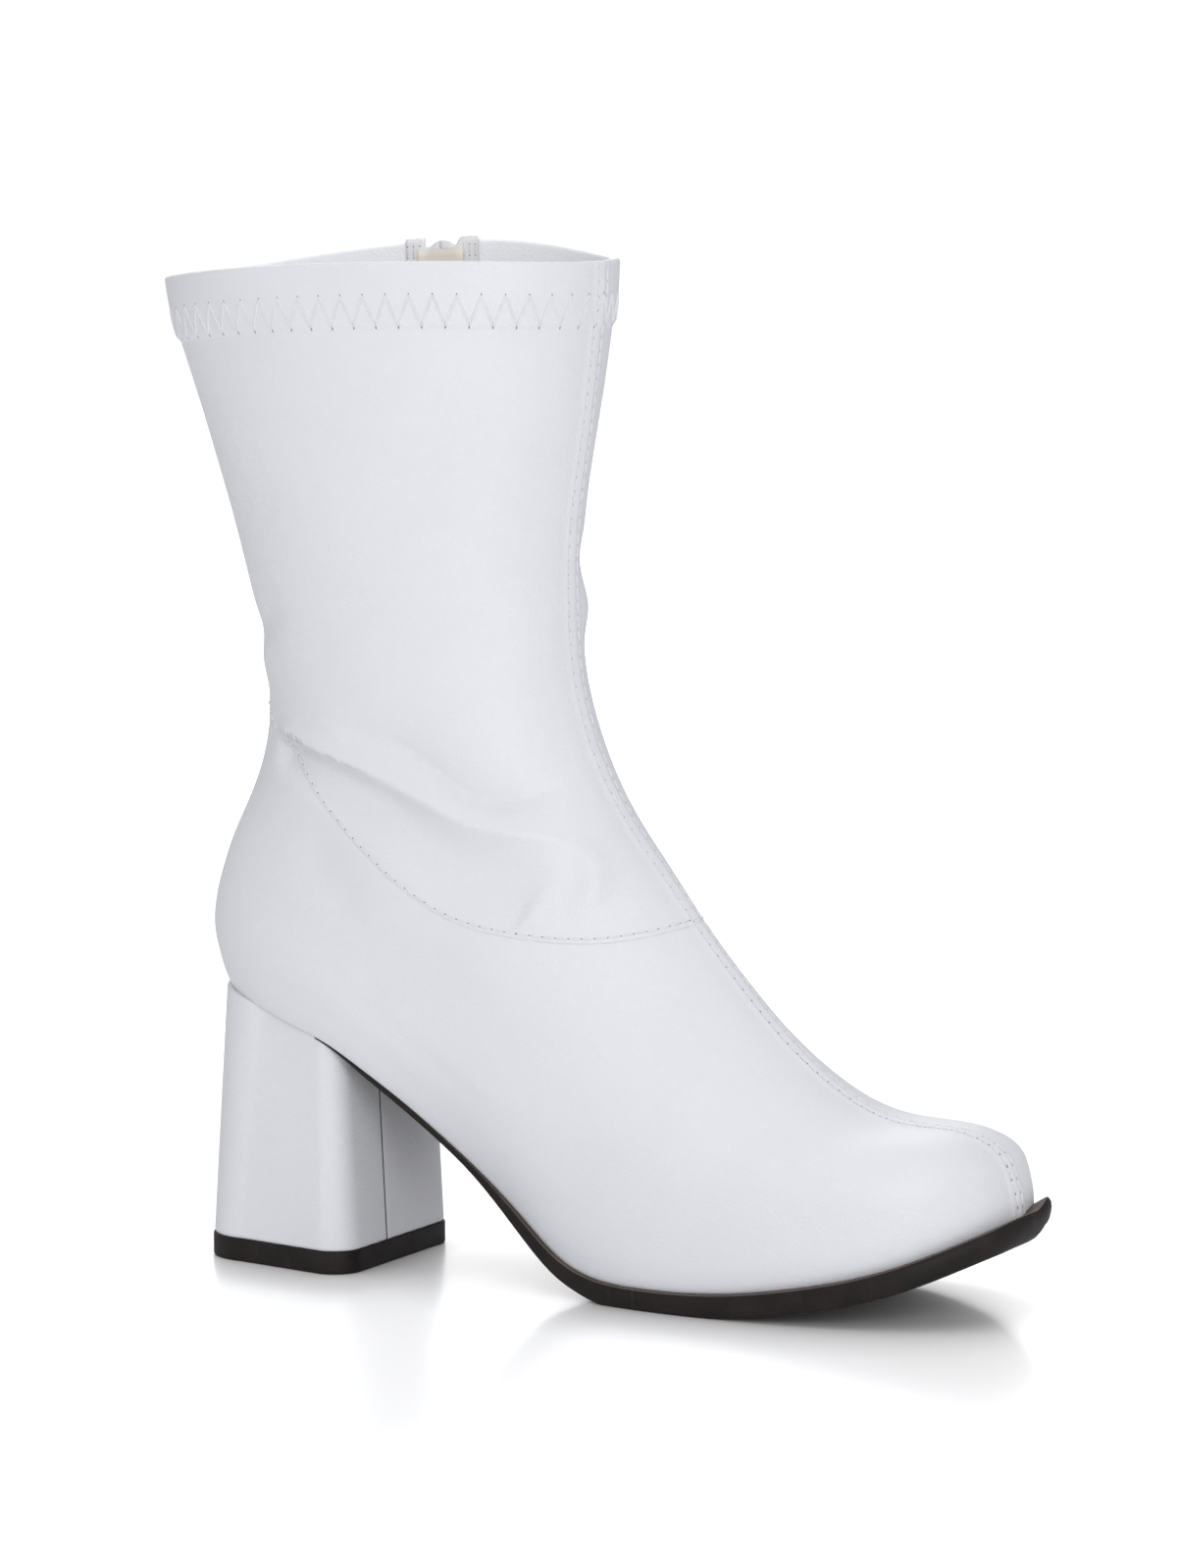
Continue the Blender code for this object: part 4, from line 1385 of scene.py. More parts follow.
@dataclass
class LegPart:
    """Shaft from the ankle seam to the turned hem, open behind the zip."""

    form: FormGrid
    thick: float = 1.5
    waves: float = 0.26
    slot_half: float = 6.0
    slot_start: float = 16.0
    slot_spare: float = 0.01
    slot_round: float = 0.8
    rim_round: float = 1.0
    round_share: float = 0.46
    hem_depth: float = 17.4
    hem_soft: float = 1.2
    hem_raise: float = 0.65
    ear_rise: float = 0.9
    ear_depth: float = 6.0
    ear_edge: Pair = (10.5, 12.5)
    facing_depth: float = 20.0
    body_rows: int = 90
    crowd: float = 1.35
    seam_steps: Steps = (
        0.0, 0.3, 0.6, 1.0, 1.5, 2.0, 2.6, 3.3, 4.1, 5.0, 6.2, 7.6, 9.0, 10.8, 12.5, 14.3, 16.0,
    )
    rim_steps: Steps = (
        22.0, 20.8, 19.9, 19.2, 18.6, 18.1, 17.7, 17.4, 17.1, 16.7, 16.2, 15.4, 14.2, 12.8, 11.4,
        10.1, 8.8, 7.5, 6.0, 4.6, 3.4, 2.5, 1.8, 1.3, 1.0, 0.75, 0.5, 0.3, 0.15, 0.05, 0.0,
    )
    stitch_row: int = 4
    skin: Sheet = field(init=False)

    def stations(self) -> Array:
        """Rows up each column, close together at the seam, the hem and the rim.

        Returns:
            Distances from the feather line, by row and column.
        """
        rows = [self.form.seam + s for s in self.seam_steps]
        start, end = rows[-1], self.form.whole - self.rim_steps[0]
        share = np.linspace(0, 1, self.body_rows)[1:-1]
        rows += [start + s**self.crowd * (end - start) for s in share]
        rows += [self.form.whole - s for s in self.rim_steps]
        return np.array(rows)

    def beside_slot(self, above_seam: Array) -> Array:
        """Which places are as high up as the slot."""
        return above_seam >= self.slot_start - self.slot_spare

    def turn_in(
        self, sheet: Sheet, below_rim: Array, above_seam: Array
    ) -> Array:
        """How far the faces turn in at the rim and the slot's edges, as a share of the wall.

        Args:
            sheet: The form's surface.
            below_rim: Distance below the rim.
            above_seam: Distance above the ankle seam.

        Returns:
            Share of the wall at each point.
        """
        at_rim = edge_round(below_rim, self.rim_round)
        from_slot = np.abs(sheet.zip_off) - self.slot_half
        at_slot = edge_round(from_slot, self.slot_round) / self.slot_round
        at_slot = np.where(self.beside_slot(above_seam), at_slot, 0)
        return self.round_share * np.maximum(at_rim, at_slot)

    def ear_lift(self, below_rim: Array) -> Array:
        """How far the rim's two ears beside the zip stand up, by distance below the rim."""
        return self.ear_rise * (1 - smoothstep(0, self.ear_depth, below_rim))

    def build(self) -> None:
        """Makes the leg part."""
        stations = self.stations()
        sheet = self.form.read(stations)
        below_rim = self.form.whole - stations
        above_seam = stations - self.form.seam
        lift = RELIEF.lift(sheet, self.waves, above_seam)
        below_hem = below_rim - self.hem_depth
        hem = self.hem_raise * (1 - smoothstep(-self.hem_soft, self.hem_soft, below_hem))
        turned = self.turn_in(sheet, below_rim, above_seam) * (self.thick + hem)
        outer = sheet.moved(lift + hem - turned)
        inner = sheet.moved(RELIEF.inside * lift - self.thick + turned)
        ears = self.ear_lift(below_rim)
        ears *= 1 - smoothstep(*self.ear_edge, np.abs(sheet.zip_off))
        outer[..., 2] += ears
        inner[..., 2] += ears
        self.skin = sheet.reshaped(outer)
        middle = np.abs(sheet.zip_off + np.roll(sheet.zip_off, -1, axis=1))[:-1] / 2
        cells = ~((middle < self.slot_half) & self.beside_slot(above_seam[:-1]))
        mesh = self.line_inside(wall(outer, inner, cells), below_rim[:-1][cells])
        finishes = (WHITE_LEATHER, BEIGE_LINING, PAINTED_LIGHT_FACING)
        WARDROBE.dress("leg_part", mesh, finishes, ("shaft",))

    def line_inside(self, mesh: MeshData, depths: Array) -> MeshData:
        """Numbers the inner faces as facing at the hem, and as lining below it.

        Args:
            mesh: The leg's wall, whose inner faces follow its outer ones.
            depths: Distance below the rim of each inner face.

        Returns:
            The same wall, its kinds numbered in the order of the finishes.
        """
        # The facing's finish is a brighter copy of the white leather: painted light inside the
        # collar
        inside = np.where(depths < self.facing_depth, 2, 1).tolist()
        edges = len(mesh.faces) - 2 * len(inside)
        return mesh._replace(kinds=[0] * len(inside) + inside + [0] * edges)


@dataclass
class Stitching:
    """Rows of thread on the leather, with the needle holes between the stitches marked in painted
    shade.
    """

    name: str
    pitch: float = 3.75
    bite: float = 0.8
    thread: float = 0.27
    rise: float = 0.1
    sink: float = 0.3
    hole_long: float = 0.5
    hole_wide: float = 0.34
    hole_sides: int = 10
    hole_sunk: float = 0.04
    hole_proud: float = 0.06
    ring: int = 7
    steps: int = 7
    threads: MeshHeap = field(default_factory=MeshHeap)
    holes: MeshHeap = field(default_factory=MeshHeap)

    def row(self, line: Array, out: Array) -> None:
        """Sews one row.

        Args:
            line: Points on the leather along the row.
            out: Outward normals there.
        """
        d = arc_length(line)
        both = np.hstack([line, out])
        inset = self.bite / 2
        for k in range(int(d[-1] // self.pitch)):
            start, end = k * self.pitch, (k + 1) * self.pitch
            span = np.linspace(start + inset, end - inset, self.steps)
            sample, middle = read_columns(span, d, both), read_columns(end, d, both)
            self.leg(sample[:, :3], unit(sample[:, 3:]))
            self.hole(middle[:3], unit(middle[3:]), sample[-1, :3] - sample[0, :3])

    def leg(self, points: Array, out: Array) -> None:
        """Lays one stitch, with its two ends sunk into the leather.

        Args:
            points: Points on the leather along the stitch.
            out: Outward normals there.
        """
        share = np.linspace(0, 1, len(points))
        bow = np.sin(np.pi * share) ** 0.5
        centre = points + out * (self.rise * bow - self.sink * (1 - bow))[:, None]
        ahead = unit(np.gradient(centre, axis=0))
        across = unit(np.cross(ahead, out))
        lift = np.cross(across, ahead)
        cosines, sines = circle(self.ring)
        offset = cosines * across[:, None] + sines * lift[:, None]
        verts = (centre[:, None] + self.thread * offset).reshape(-1, 3)
        self.threads.add(verts, tube_faces(len(points), self.ring))

    def hole(self, centre: Array, out: Array, ahead: Array) -> None:
        """Marks one needle hole: a low lens in painted shade, longer along the row.

        Args:
            centre: Its middle.
            out: Outward normal there.
            ahead: Direction of the row.
        """
        along_row = unit(ahead - out * (ahead @ out))
        across = np.cross(out, along_row)
        n = self.hole_sides
        cosines, sines = circle(n)
        rim = centre + self.hole_long * cosines * along_row + self.hole_wide * sines * across
        verts = np.vstack([rim - self.hole_sunk * out, centre + self.hole_proud * out])
        self.holes.add(verts, [[i, (i + 1) % n, n] for i in range(n)])

    def build(self) -> None:
        """Makes the thread and its holes as pieces."""
        threads, holes = self.threads.mesh(), self.holes.mesh()
        WARDROBE.dress(f"{self.name}_thread", threads, (WHITE_THREAD,))
        WARDROBE.dress(f"{self.name}_holes", holes, (NEEDLE_HOLE_SHADE,))


@dataclass
class Seams:
    """All sewing that shows: front seam, ankle seam, hem zigzag and the zip's edges."""

    foot: FootPart
    leg: LegPart
    zigzag_pitch: float = 6.5
    zigzag_top: float = 8.8
    zigzag_foot: float = 17.0
    zip_rows: Steps = (7.5, 10.0)
    toe_column: float = 3.8
    front_from_top: int = 8
    zip_from_top: int = 7
    hem_from_top: int = 9
    slot_spare: float = 1.0

    def front(self) -> None:
        """Two rows beside the front seam, from the collar to the toe."""
        sewing = Stitching("front_seam", rise=0.16, hole_long=0.6)
        columns = self.leg.skin.points.shape[1]
        parts = (self.leg.skin, STITCH_COLUMN), (self.foot.skin, self.toe_column)
        start = self.front_from_top
        for side in Side:
            line, out = [], []
            for skin, at_foot in parts:
                last = len(skin.points) - 1
                rows = np.arange(last, -1, -1.0)
                beside = np.interp(rows, (0, last), (at_foot, STITCH_COLUMN))
                points, normals = skin.at(rows, beside if side is Side.OUTER else columns - beside)
                line.append(points)
                out.append(normals)
            sewing.row(np.vstack(line)[start:], np.vstack(out)[start:])
        sewing.build()

    def ankle(self) -> None:
        """One row along the ankle seam, all the way round."""
        sewing = Stitching("ankle_seam", pitch=3.5, hole_wide=0.26)
        row = self.leg.stitch_row
        sewing.row(self.leg.skin.points[row], self.leg.skin.normals[row])
        sewing.build()

    def zip_edges(self) -> None:
        """Two rows along each edge of the zip's slot."""
        sewing = Stitching("zip_edge", pitch=3.0, thread=0.22, hole_long=0.4, hole_wide=0.28)
        skin = self.leg.skin
        rows = slice(len(self.leg.seam_steps) - 1, -self.zip_from_top)
        for offset in both_signs(self.zip_rows):
            column = int(np.argmin(np.abs(skin.zip_off[-1] - offset)))
            sewing.row(skin.points[rows, column], skin.normals[rows, column])
        sewing.build()

    def hem(self) -> None:
        """Zigzag around the hem, from one edge of the zip's slot to the other."""
        sewing = Stitching("hem_zigzag", sink=0.12, steps=11, hole_long=0.95, hole_wide=0.3)
        skin = self.leg.skin
        rows, columns = skin.points.shape[:2]
        steps = np.array(self.leg.rim_steps)
        first = rows - len(steps)
        line = skin.points[-self.hem_from_top]
        around = arc_length(np.vstack([line, line[:1]]))
        count = round(around[-1] / self.zigzag_pitch)
        half = around[-1] / count / 2
        slot_half = self.leg.slot_half + self.slot_spare
        slot = np.nonzero(np.abs(skin.zip_off[-1]) < slot_half)[0]
        down = self.zigzag_top, self.zigzag_foot
        for k in range(2 * count):
            span = np.linspace(k * half, (k + 1) * half, sewing.steps)
            column = np.interp(span, around, np.arange(columns + 1))
            if column.max() > slot.min() and column.min() < slot.max():
                continue
            below = np.linspace(*(down[::-1] if k % 2 else down), sewing.steps)
            row = first + np.interp(-below, -steps, np.arange(len(steps)))
            points, out = skin.at(row, column)
            sewing.leg(points, out)
            sewing.hole(points[0], out[0], np.array([0.0, 0.0, 1.0]))
        sewing.build()


class HeelRing(NamedTuple):
    """Rounded four-sided outline of the heel, symmetrical about y = 0."""

    front_x: float
    back_x: float
    half_front: float
    half_back: float
    front_radius: float
    back_radius: float


@dataclass
class Heel:
    """Covered block heel and the black piece that it stands on."""

    last: Last
    floor: HeelRing = HeelRing(48.6, -2.0, 30.3, 24.5, 8.0, 14.5)
    seat: HeelRing = HeelRing(45.6, 0.2, 28.6, 24.0, 6.0, 19.0)
    piece_thick: float = 6.2
    gap: float = 0.3
    proud: float = 0.35
    into_seat: float = 0.14
    rows: int = 24
    end_shares: Steps = (0.0, 0.002, 0.005, 0.01, 0.018)
    body_shares: Pair = (0.03, 0.97)
    floor_round: Pair = (0.35, 0.005)
    seat_round: Pair = (0.06, 0.004)
    breast_columns: Steps = (
        0.0, 2.0, 3.9, 5.5, 6.4, 6.85, 7.05, 7.2, 7.3, 7.4, 7.5, 7.6, 7.75, 8.0, 8.6, 10.0,
    )
    front_corner: int = 17
    back_corner: int = 25
    side_columns: int = 22
    groove_y: float = -7.4
    groove_depth: float = 0.4
    groove_width: float = 0.3
    groove_dark: float = 0.33
    groove_reach: float = 3.0
    piece_profile: Line = (
        (0.0, -1.0), (0.05, -0.55), (0.2, -0.2), (0.5, 0.0), (1.5, 0.0), (4.5, 0.0),
        (5.75, 0.0), (6.0, -0.08), (6.14, -0.25), (6.2, -0.6), (6.2, -1.2),
    )

    @staticmethod
    def corner(
        centre: Pair, radius: float, start: float, count: int
    ) -> list[Pair]:
        """Points of a rounded corner.

        Args:
            centre: Middle of its round.
            radius: Radius of its round.
            start: Angle of its first point in degrees.
            count: Number of points, over a quarter turn.

        Returns:
            Points (x, y).
        """
        angles = np.radians(np.linspace(start, start + 90, count))
        x, y = centre
        return [(x + radius * np.cos(a), y + radius * np.sin(a)) for a in angles]

    def outline(self, ring: HeelRing, grow: float = 0.0) -> Array:
        """Whole outline, from the middle of the breast round the inner side and back.

        Args:
            ring: Measures of the outline.
            grow: How far it is grown all round.

        Returns:
            Points (x, y) in mirror order about the first.
        """
        front = ring.half_front - ring.front_radius
        back = ring.half_back - ring.back_radius
        columns = self.breast_columns
        breast = (*columns, *np.linspace(columns[-1], front, 8)[1:-1])
        half = [(ring.front_x + grow, y) for y in breast]
        centre = ring.front_x - ring.front_radius, front
        half += self.corner(centre, ring.front_radius + grow, 0, self.front_corner)
        centre = ring.back_x + ring.back_radius, back
        turn = self.corner(centre, ring.back_radius + grow, 90, self.back_corner)
        side = np.linspace(half[-1], turn[0], self.side_columns)[1:-1]
        half += [tuple(p) for p in side] + turn
        half += [(ring.back_x - grow, y) for y in np.linspace(back, 0, 7)[1:]]
        line = np.array(half)
        return np.vstack([line, line[::-1][1:-1] * (1, -1)])

    def groove(self, line: Array) -> Array:
        """Outline with the cover's seam pressed into the breast.

        Args:
            line: Points of the outline.

        Returns:
            The same points, moved in at the seam.
        """
        on_breast = line[:, 0] > (self.seat.front_x + self.seat.back_x) / 2
        dip = self.groove_depth * bell(line[:, 1] - self.groove_y, self.groove_width) * on_breast
        return line - np.column_stack([dip, 0 * dip])

    def build(self) -> None:
        """Makes the cover and the top piece."""
        low = self.piece_thick + self.gap / 2
        ends = np.array(self.end_shares)
        (floor_deep, floor_long), (seat_deep, seat_long) = self.floor_round, self.seat_round
        rings = []
        for share in np.r_[ends, np.linspace(*self.body_shares, self.rows), 1 - ends[::-1]]:
            inset = floor_deep * bell(share, floor_long) + seat_deep * bell(1 - share, seat_long)
            line = (1 - share) * self.outline(self.floor, -inset)
            line = self.groove(line + share * self.outline(self.seat, -inset))
            z = low + share * (self.last.seat_z(line[:, 0]) - self.into_seat - low)
            rings.append(np.column_stack([line, z]))
        mesh = stacked_rings(rings)
        # Faces along the seam groove on the breast take the dark finish: painted shade in the
        # groove
        corners = mesh.verts[np.array([face[:3] for face in mesh.faces])]
        middle = corners.mean(axis=1)
        in_groove = np.abs(middle[:, 1] - self.groove_y) < self.groove_dark
        in_groove &= middle[:, 0] > self.seat.front_x - self.groove_reach
        mesh = mesh._replace(kinds=in_groove.astype(int).tolist())
        finishes = (HEEL_LEATHER, SEAM_GROOVE_SHADE)
        WARDROBE.dress("heel_cover", mesh, finishes, ("heel",))
        rings = []
        for z, grow in self.piece_profile:
            line = self.outline(self.floor, self.proud + grow)
            rings.append(np.column_stack([line, np.full(len(line), z)]))
        piece = stacked_rings(rings)
        node = "heel_top_piece"
        WARDROBE.dress("heel_top_piece_rubber", piece, (DARK_SOLE,), (node,))


class EdgeRow(NamedTuple):
    """One line of a plate's edge: its inset at the sides and toe, and share of the thickness."""

    side: float
    toe: float
    share: float


# Edge profiles from under to top: the outsole's is square at the sides and round at the toe
SOLE_EDGE = (
    EdgeRow(3.4, 3.8, 0.0),
    EdgeRow(1.5, 1.9, 0.0),
    EdgeRow(0.9, 1.1, 0.05),
    EdgeRow(0.55, 0.55, 0.16),
    EdgeRow(0.3, 0.2, 0.34),
    EdgeRow(0.12, 0.0, 0.55),
    EdgeRow(0.03, 0.2, 0.75),
    EdgeRow(0.0, 0.65, 0.88),
    EdgeRow(0.05, 1.0, 0.95),
    EdgeRow(0.2, 1.35, 0.985),
    EdgeRow(0.45, 1.7, 1.0),
    EdgeRow(3.4, 4.6, 1.0),
)
SOCK_EDGE = (
    EdgeRow(1.5, 1.5, 0.0),
    EdgeRow(0.3, 0.3, 0.0),
    EdgeRow(0.0, 0.0, 0.3),
    EdgeRow(0.1, 0.1, 0.75),
    EdgeRow(0.6, 0.6, 0.96),
    EdgeRow(1.6, 1.6, 1.0),
    EdgeRow(4.0, 4.0, 1.03),
)


@dataclass
class Sole:
    """Outsole from the heel breast to the toe, and the sock over the insole board."""

    last: Last
    start_x: float = 38.0
    welt_toe: float = 5.1
    welt_side: float = 2.0
    gap: float = 0.15
    tip: float = 0.02
    crowd: float = 2.2
    toe_twist: float = 3.0
    twist_x: Pair = (206.0, 234.0)
    twist_y: Pair = (5.0, 17.0)
    toe_x: Pair = (196.0, 234.0)
    shank_inset: float = 1.9
    shank_x: Pair = (70.0, 112.0)
    rim_share: float = 0.93
    sock_inset: float = 3.4
    sock_thick: float = 2.5
    stations: int = 120

    def loop(self, lv: Level, x: Array, inset: Array) -> Array:
        """Plan outline of a plate: the inner edge from toe to heel, then the outer back.

        Args:
            lv: The plate's measures.
            x: Places along it, from the heel to the toe.
            inset: How far the outline lies inside the plate's own, at each place.

        Returns:
            Points (x, y); point i of one edge faces point i of the other.
        """
        outer, inner = self.last.plate_edges(lv, x)
        found = []
        for edge, sign in ((inner, 1), (outer, -1)):
            tangent = unit(np.gradient(edge, axis=0))
            normal = np.column_stack([-tangent[:, 1], tangent[:, 0]]) * sign
            moved = edge - inset[:, None] * normal
            middle = self.last.swing(moved[:, 0])
            moved[:, 1] = middle + sign * np.maximum(sign * (moved[:, 1] - middle), self.tip)
            found.append(moved)
        return np.vstack([found[0][::-1], found[1]])

    def twist(self, line: Array) -> Array:
        """How far the toe's inner edge is turned up."""
        forward = smoothstep(*self.twist_x, line[:, 0])
        return self.toe_twist * forward * smoothstep(*self.twist_y, line[:, 1])

    def plate(
        self,
        lv: Level,
        x: Array,
        rows: Sequence[EdgeRow],
        thick: Array,
        base: float,
        twisted: bool,
    ) -> MeshData:
        """Plate with rounded edges.

        Args:
            lv: Measures of its outline.
            x: Places along it, from the heel to the toe.
            rows: Edge profile from under to top.
            thick: Thickness at each place.
            base: Height of its top above the surface that the upper stands on.
            twisted: Whether the toe's inner edge is turned up.

        Returns:
            The plate's mesh.
        """
        rings = []
        at_toe = smoothstep(*self.toe_x, x)
        drawn_in = twisted * self.shank_inset * (1 - smoothstep(*self.shank_x, x))
        for row in rows:
            line = self.loop(lv, x, row.side + (row.toe - row.side) * at_toe + drawn_in)
            top = self.last.seat_z(line[:, 0]) + base + twisted * self.twist(line)
            depth = np.interp(line[:, 0], x, thick)
            under = np.maximum(top - depth, 0)
            rings.append(np.column_stack([line, under + row.share * (top - under)]))
        n = len(rings[0])
        half = n // 2
        faces = flipped(ring_quads(len(rings), n))
        # Rows at the top of the edge, and the top face, take the paler second finish: a painted
        # highlight on the upward-facing rim
        kinds = [int(row.share >= self.rim_share) for row in rows[:-1] for _ in range(n)]
        for r, turn in ((0, 1), (len(rings) - 1, -1)):
            for i in range(half - 1):
                quad = [r * n + i, r * n + i + 1, r * n + n - 2 - i, r * n + n - 1 - i]
                faces.append(quad[::turn])
            kinds += [int(r > 0)] * (half - 1)
        return MeshData(np.vstack(rings), faces, kinds)

    def build(self) -> None:
        """Makes the outsole and the sock."""
        lv = self.last.plate(self.welt_toe, 0.0, self.welt_side)
        share = np.linspace(0, 1, self.stations)
        reach = lv.front_x - self.tip - self.start_x
        x = self.start_x + reach * (1 - (1 - share) ** self.crowd)
        mesh = self.plate(lv, x, SOLE_EDGE, along(SOLE_THICKNESS, x), -self.gap, True)
        WARDROBE.dress("outsole_rubber", mesh, (DARK_SOLE, SOLE_RIM_HIGHLIGHT), ("outsole",))
        inset = -self.sock_inset
        lv = self.last.plate(inset, inset, inset)
        reach = (lv.front_x - lv.back_x) / 2 - self.tip
        x = (lv.front_x + lv.back_x) / 2 - reach * np.cos(np.linspace(0, np.pi, self.stations))
        thick = np.full(len(x), self.sock_thick)
        mesh = self.plate(lv, x, SOCK_EDGE, thick, self.sock_thick, False)
        mesh = mesh._replace(kinds=[0] * len(mesh.faces))
        WARDROBE.dress("insole_sock", mesh, (BEIGE_LINING,), ("insole",))


class ZipPlace(NamedTuple):
    """Place on the shaft, with directions along the zip: across, up and outwards."""

    centre: Array
    across: Array
    up: Array
    out: Array

    def at(self, across: float, up: float, out: float) -> Array:
        """Point at given distances from the centre."""
        return self.centre + across * self.across + up * self.up + out * self.out


# One side of the slider's outline, as (across, share of its half length, distance up from
# there), and the bail's profile, as (up, out)
SLIDER_EDGE = (
    (2.6, -1, 0.0), (3.3, -1, 0.8), (4.4, 0, 1.0), (4.4, 1, -1.6), (3.2, 1, 0.0), (0.9, 1, 0.0),
)
BAIL_PROFILE: Line = (
    (2.8, 1.8), (2.8, 3.4), (1.8, 4.6), (-1.8, 4.6), (-2.8, 3.4), (-2.8, 1.8),
    (-1.8, 1.8), (-1.8, 3.2), (-1.3, 3.7), (1.3, 3.7), (1.8, 3.2), (1.8, 1.8),
)
# One tooth of the coil, as (reach across, share of its radius)
TOOTH_SHAPE: Line = ((0.0, 0.35), (0.15, 0.8), (0.5, 1.0), (2.2, 0.85), (2.6, 0.7), (2.8, 0.3))
# Three places abreast, to read the zip's line and the directions beside it
ABREAST = np.array([-1.0, 0.0, 1.0])
# Neck of the tab and the hole for the bail, as (across, up)
TAB_NECK: Line = ((2.5, 0.5), (2.5, -4.6), (3.2, -6.0))
TAB_HOLE: Line = ((-1.25, -0.5), (1.25, -0.5), (1.25, -3.9), (-1.25, -3.9))


@dataclass
class ZipFastener:
    """Zip of the inner side: tapes, coil, guard, slider and tab."""

    form: FormGrid
    leg: LegPart
    gap: float = 0.3
    form_from: float = 0.5
    form_loops: int = 161
    below_slot: float = 3.0
    tape_half: float = 11.0
    tape_thick: float = 0.6
    tape_free: float = 1.5
    tape_grid: tuple[int, int] = (110, 14)
    arch_middle: float = -1.0
    arch_half: float = 4.0
    arch_fall: float = 1.7
    arch_drop: Pair = (0.3, 1.8)
    sewn_drop: float = 0.2
    sewn_edge: Pair = (4.8, 6.5)
    sewn_rows: Steps = (6.8, 8.7, 10.5)
    sewn_from: float = 1.2
    sewn_points: int = 120
    lean_most: float = 1.5
    lean_edge: Pair = (3.5, 6.0)
    lean_drop: Pair = (0.3, 5.8)
    guard_half: float = 7.0
    guard_thick: float = 0.8
    guard_free: float = 2.5
    guard_grid: tuple[int, int] = (80, 30)
    slider_drop: float = 12.0
    slider_length: float = 10.4
    slider_notch: float = 1.4
    slider_out: float = 2.0
    slider_soft: float = 0.35
    bail_half: float = 0.8
    hinge_out: float = 2.85
    tab_round: float = 3.2
    tab_half: float = 0.5
    tab_soft: float = 0.2
    pull_length: float = 23.0
    chain_stop: float = 1.0
    chain_depth: float = 0.85
    tooth_pitch: float = 1.5
    tooth_radius: float = 0.5
    tooth_start: float = -0.5
    tooth_sides: int = 8
    tooth_low: float = 0.75
    tooth_high: float = 1.2

    def sheet(
        self, offsets: Array, drop_from: float, drop_to: float | Array, rows: int
    ) -> tuple[Array, Array]:
        """Sheet along the zip's middle line.

        Args:
            offsets: Arc distances from the middle line, towards the back of the boot.
            drop_from: Lower end, as a distance below the collar.
            drop_to: Upper end, the same all over or at each offset.
            rows: Number of rows.

        Returns:
            Points and outward normals.
        """
        grid = []
        for t in np.linspace(self.form_from, 1, self.form_loops):
            loop = self.form.last.half_loop(t, Side.INNER)
            middle = self.form.zip_at * arc_length(loop)[-1]
            grid.append(at_arcs(loop, middle + np.asarray(offsets)))
        points = np.array(grid)
        normals = unit(np.cross(np.gradient(points, axis=1), np.gradient(points, axis=0)))
        whole = arc_length(points[:, len(offsets) // 2])[-1]
        drop = np.linspace(np.full(len(offsets), drop_from), drop_to, rows)
        found = np.empty((rows, len(offsets), 6))
        for j in range(len(offsets)):
            d = arc_length(points[:, j])
            stations = (whole - drop[:, j]) * d[-1] / whole
            both = np.hstack([points[:, j], normals[:, j]])
            found[:, j] = read_columns(stations, d, both)
        return found[..., :3], unit(found[..., 3:])

    def length(self) -> float:
        """Length of the slot along the zip's middle line."""
        middle = int(np.argmin(np.abs(self.form.fine.zip_off[-1])))
        return self.form.whole[middle] - self.form.seam[middle] - self.leg.slot_start - self.gap

    def tape_top(self, offsets: Array) -> Array:
        """Distance below the collar of the tapes' upper ends, cut to a low arch.

        Args:
            offsets: Arc distances from the middle line.

        Returns:
            Distance at each offset.
        """
        least, most = self.arch_drop
        arch = least + self.arch_fall * ((offsets - self.arch_middle) / self.arch_half) ** 2
        arch = np.clip(arch, least, most)
        return arch + (self.sewn_drop - arch) * self.sewn(offsets)

    def sewn(self, offsets: Array) -> Array:
        """How far the tapes are held by the leg, from 0 in the middle to 1."""
        return smoothstep(*self.sewn_edge, np.abs(offsets))

    def leaning_sheet(
        self, offsets: Array, low: float, top: float | Array, rows: int
    ) -> tuple[Array, Array, Array]:
        """Sheet along the zip, its loose upper end leaning into the boot.

        Args:
            offsets: Arc distances from the middle line, towards the back of the boot.
            low: Lower end, as a distance below the collar.
            top: Upper end, the same all over or at each offset.
            rows: Number of rows.

        Returns:
            Points, outward normals and distances below the collar.
        """
        points, normals = self.sheet(offsets, low, top, rows)
        drop = np.linspace(np.full(len(offsets), low), top, rows)
        loose = 1 - smoothstep(*self.lean_edge, np.abs(offsets - self.arch_middle))
        lean = self.lean_most * (1 - smoothstep(*self.lean_drop, drop)) * loose
        return points - normals * lean[..., None], normals, drop

    def sewing(self) -> None:
        """Sews the tapes' inner faces to the leg."""
        rows = Stitching("zip_tape_inside", pitch=3.0, thread=0.22, hole_long=0.45, hole_wide=0.3)
        depth = self.leg.thick + self.gap + self.tape_thick
        span = self.length(), self.sewn_from
        for offset in both_signs(self.sewn_rows):
            points, normals = self.sheet(offset + 0.5 * ABREAST, *span, self.sewn_points)
            points[..., 2] += self.leg.ear_lift(np.linspace(*span, self.sewn_points))[:, None]
            rows.row(points[:, 1] - depth * normals[:, 1], -normals[:, 1])
        rows.build()

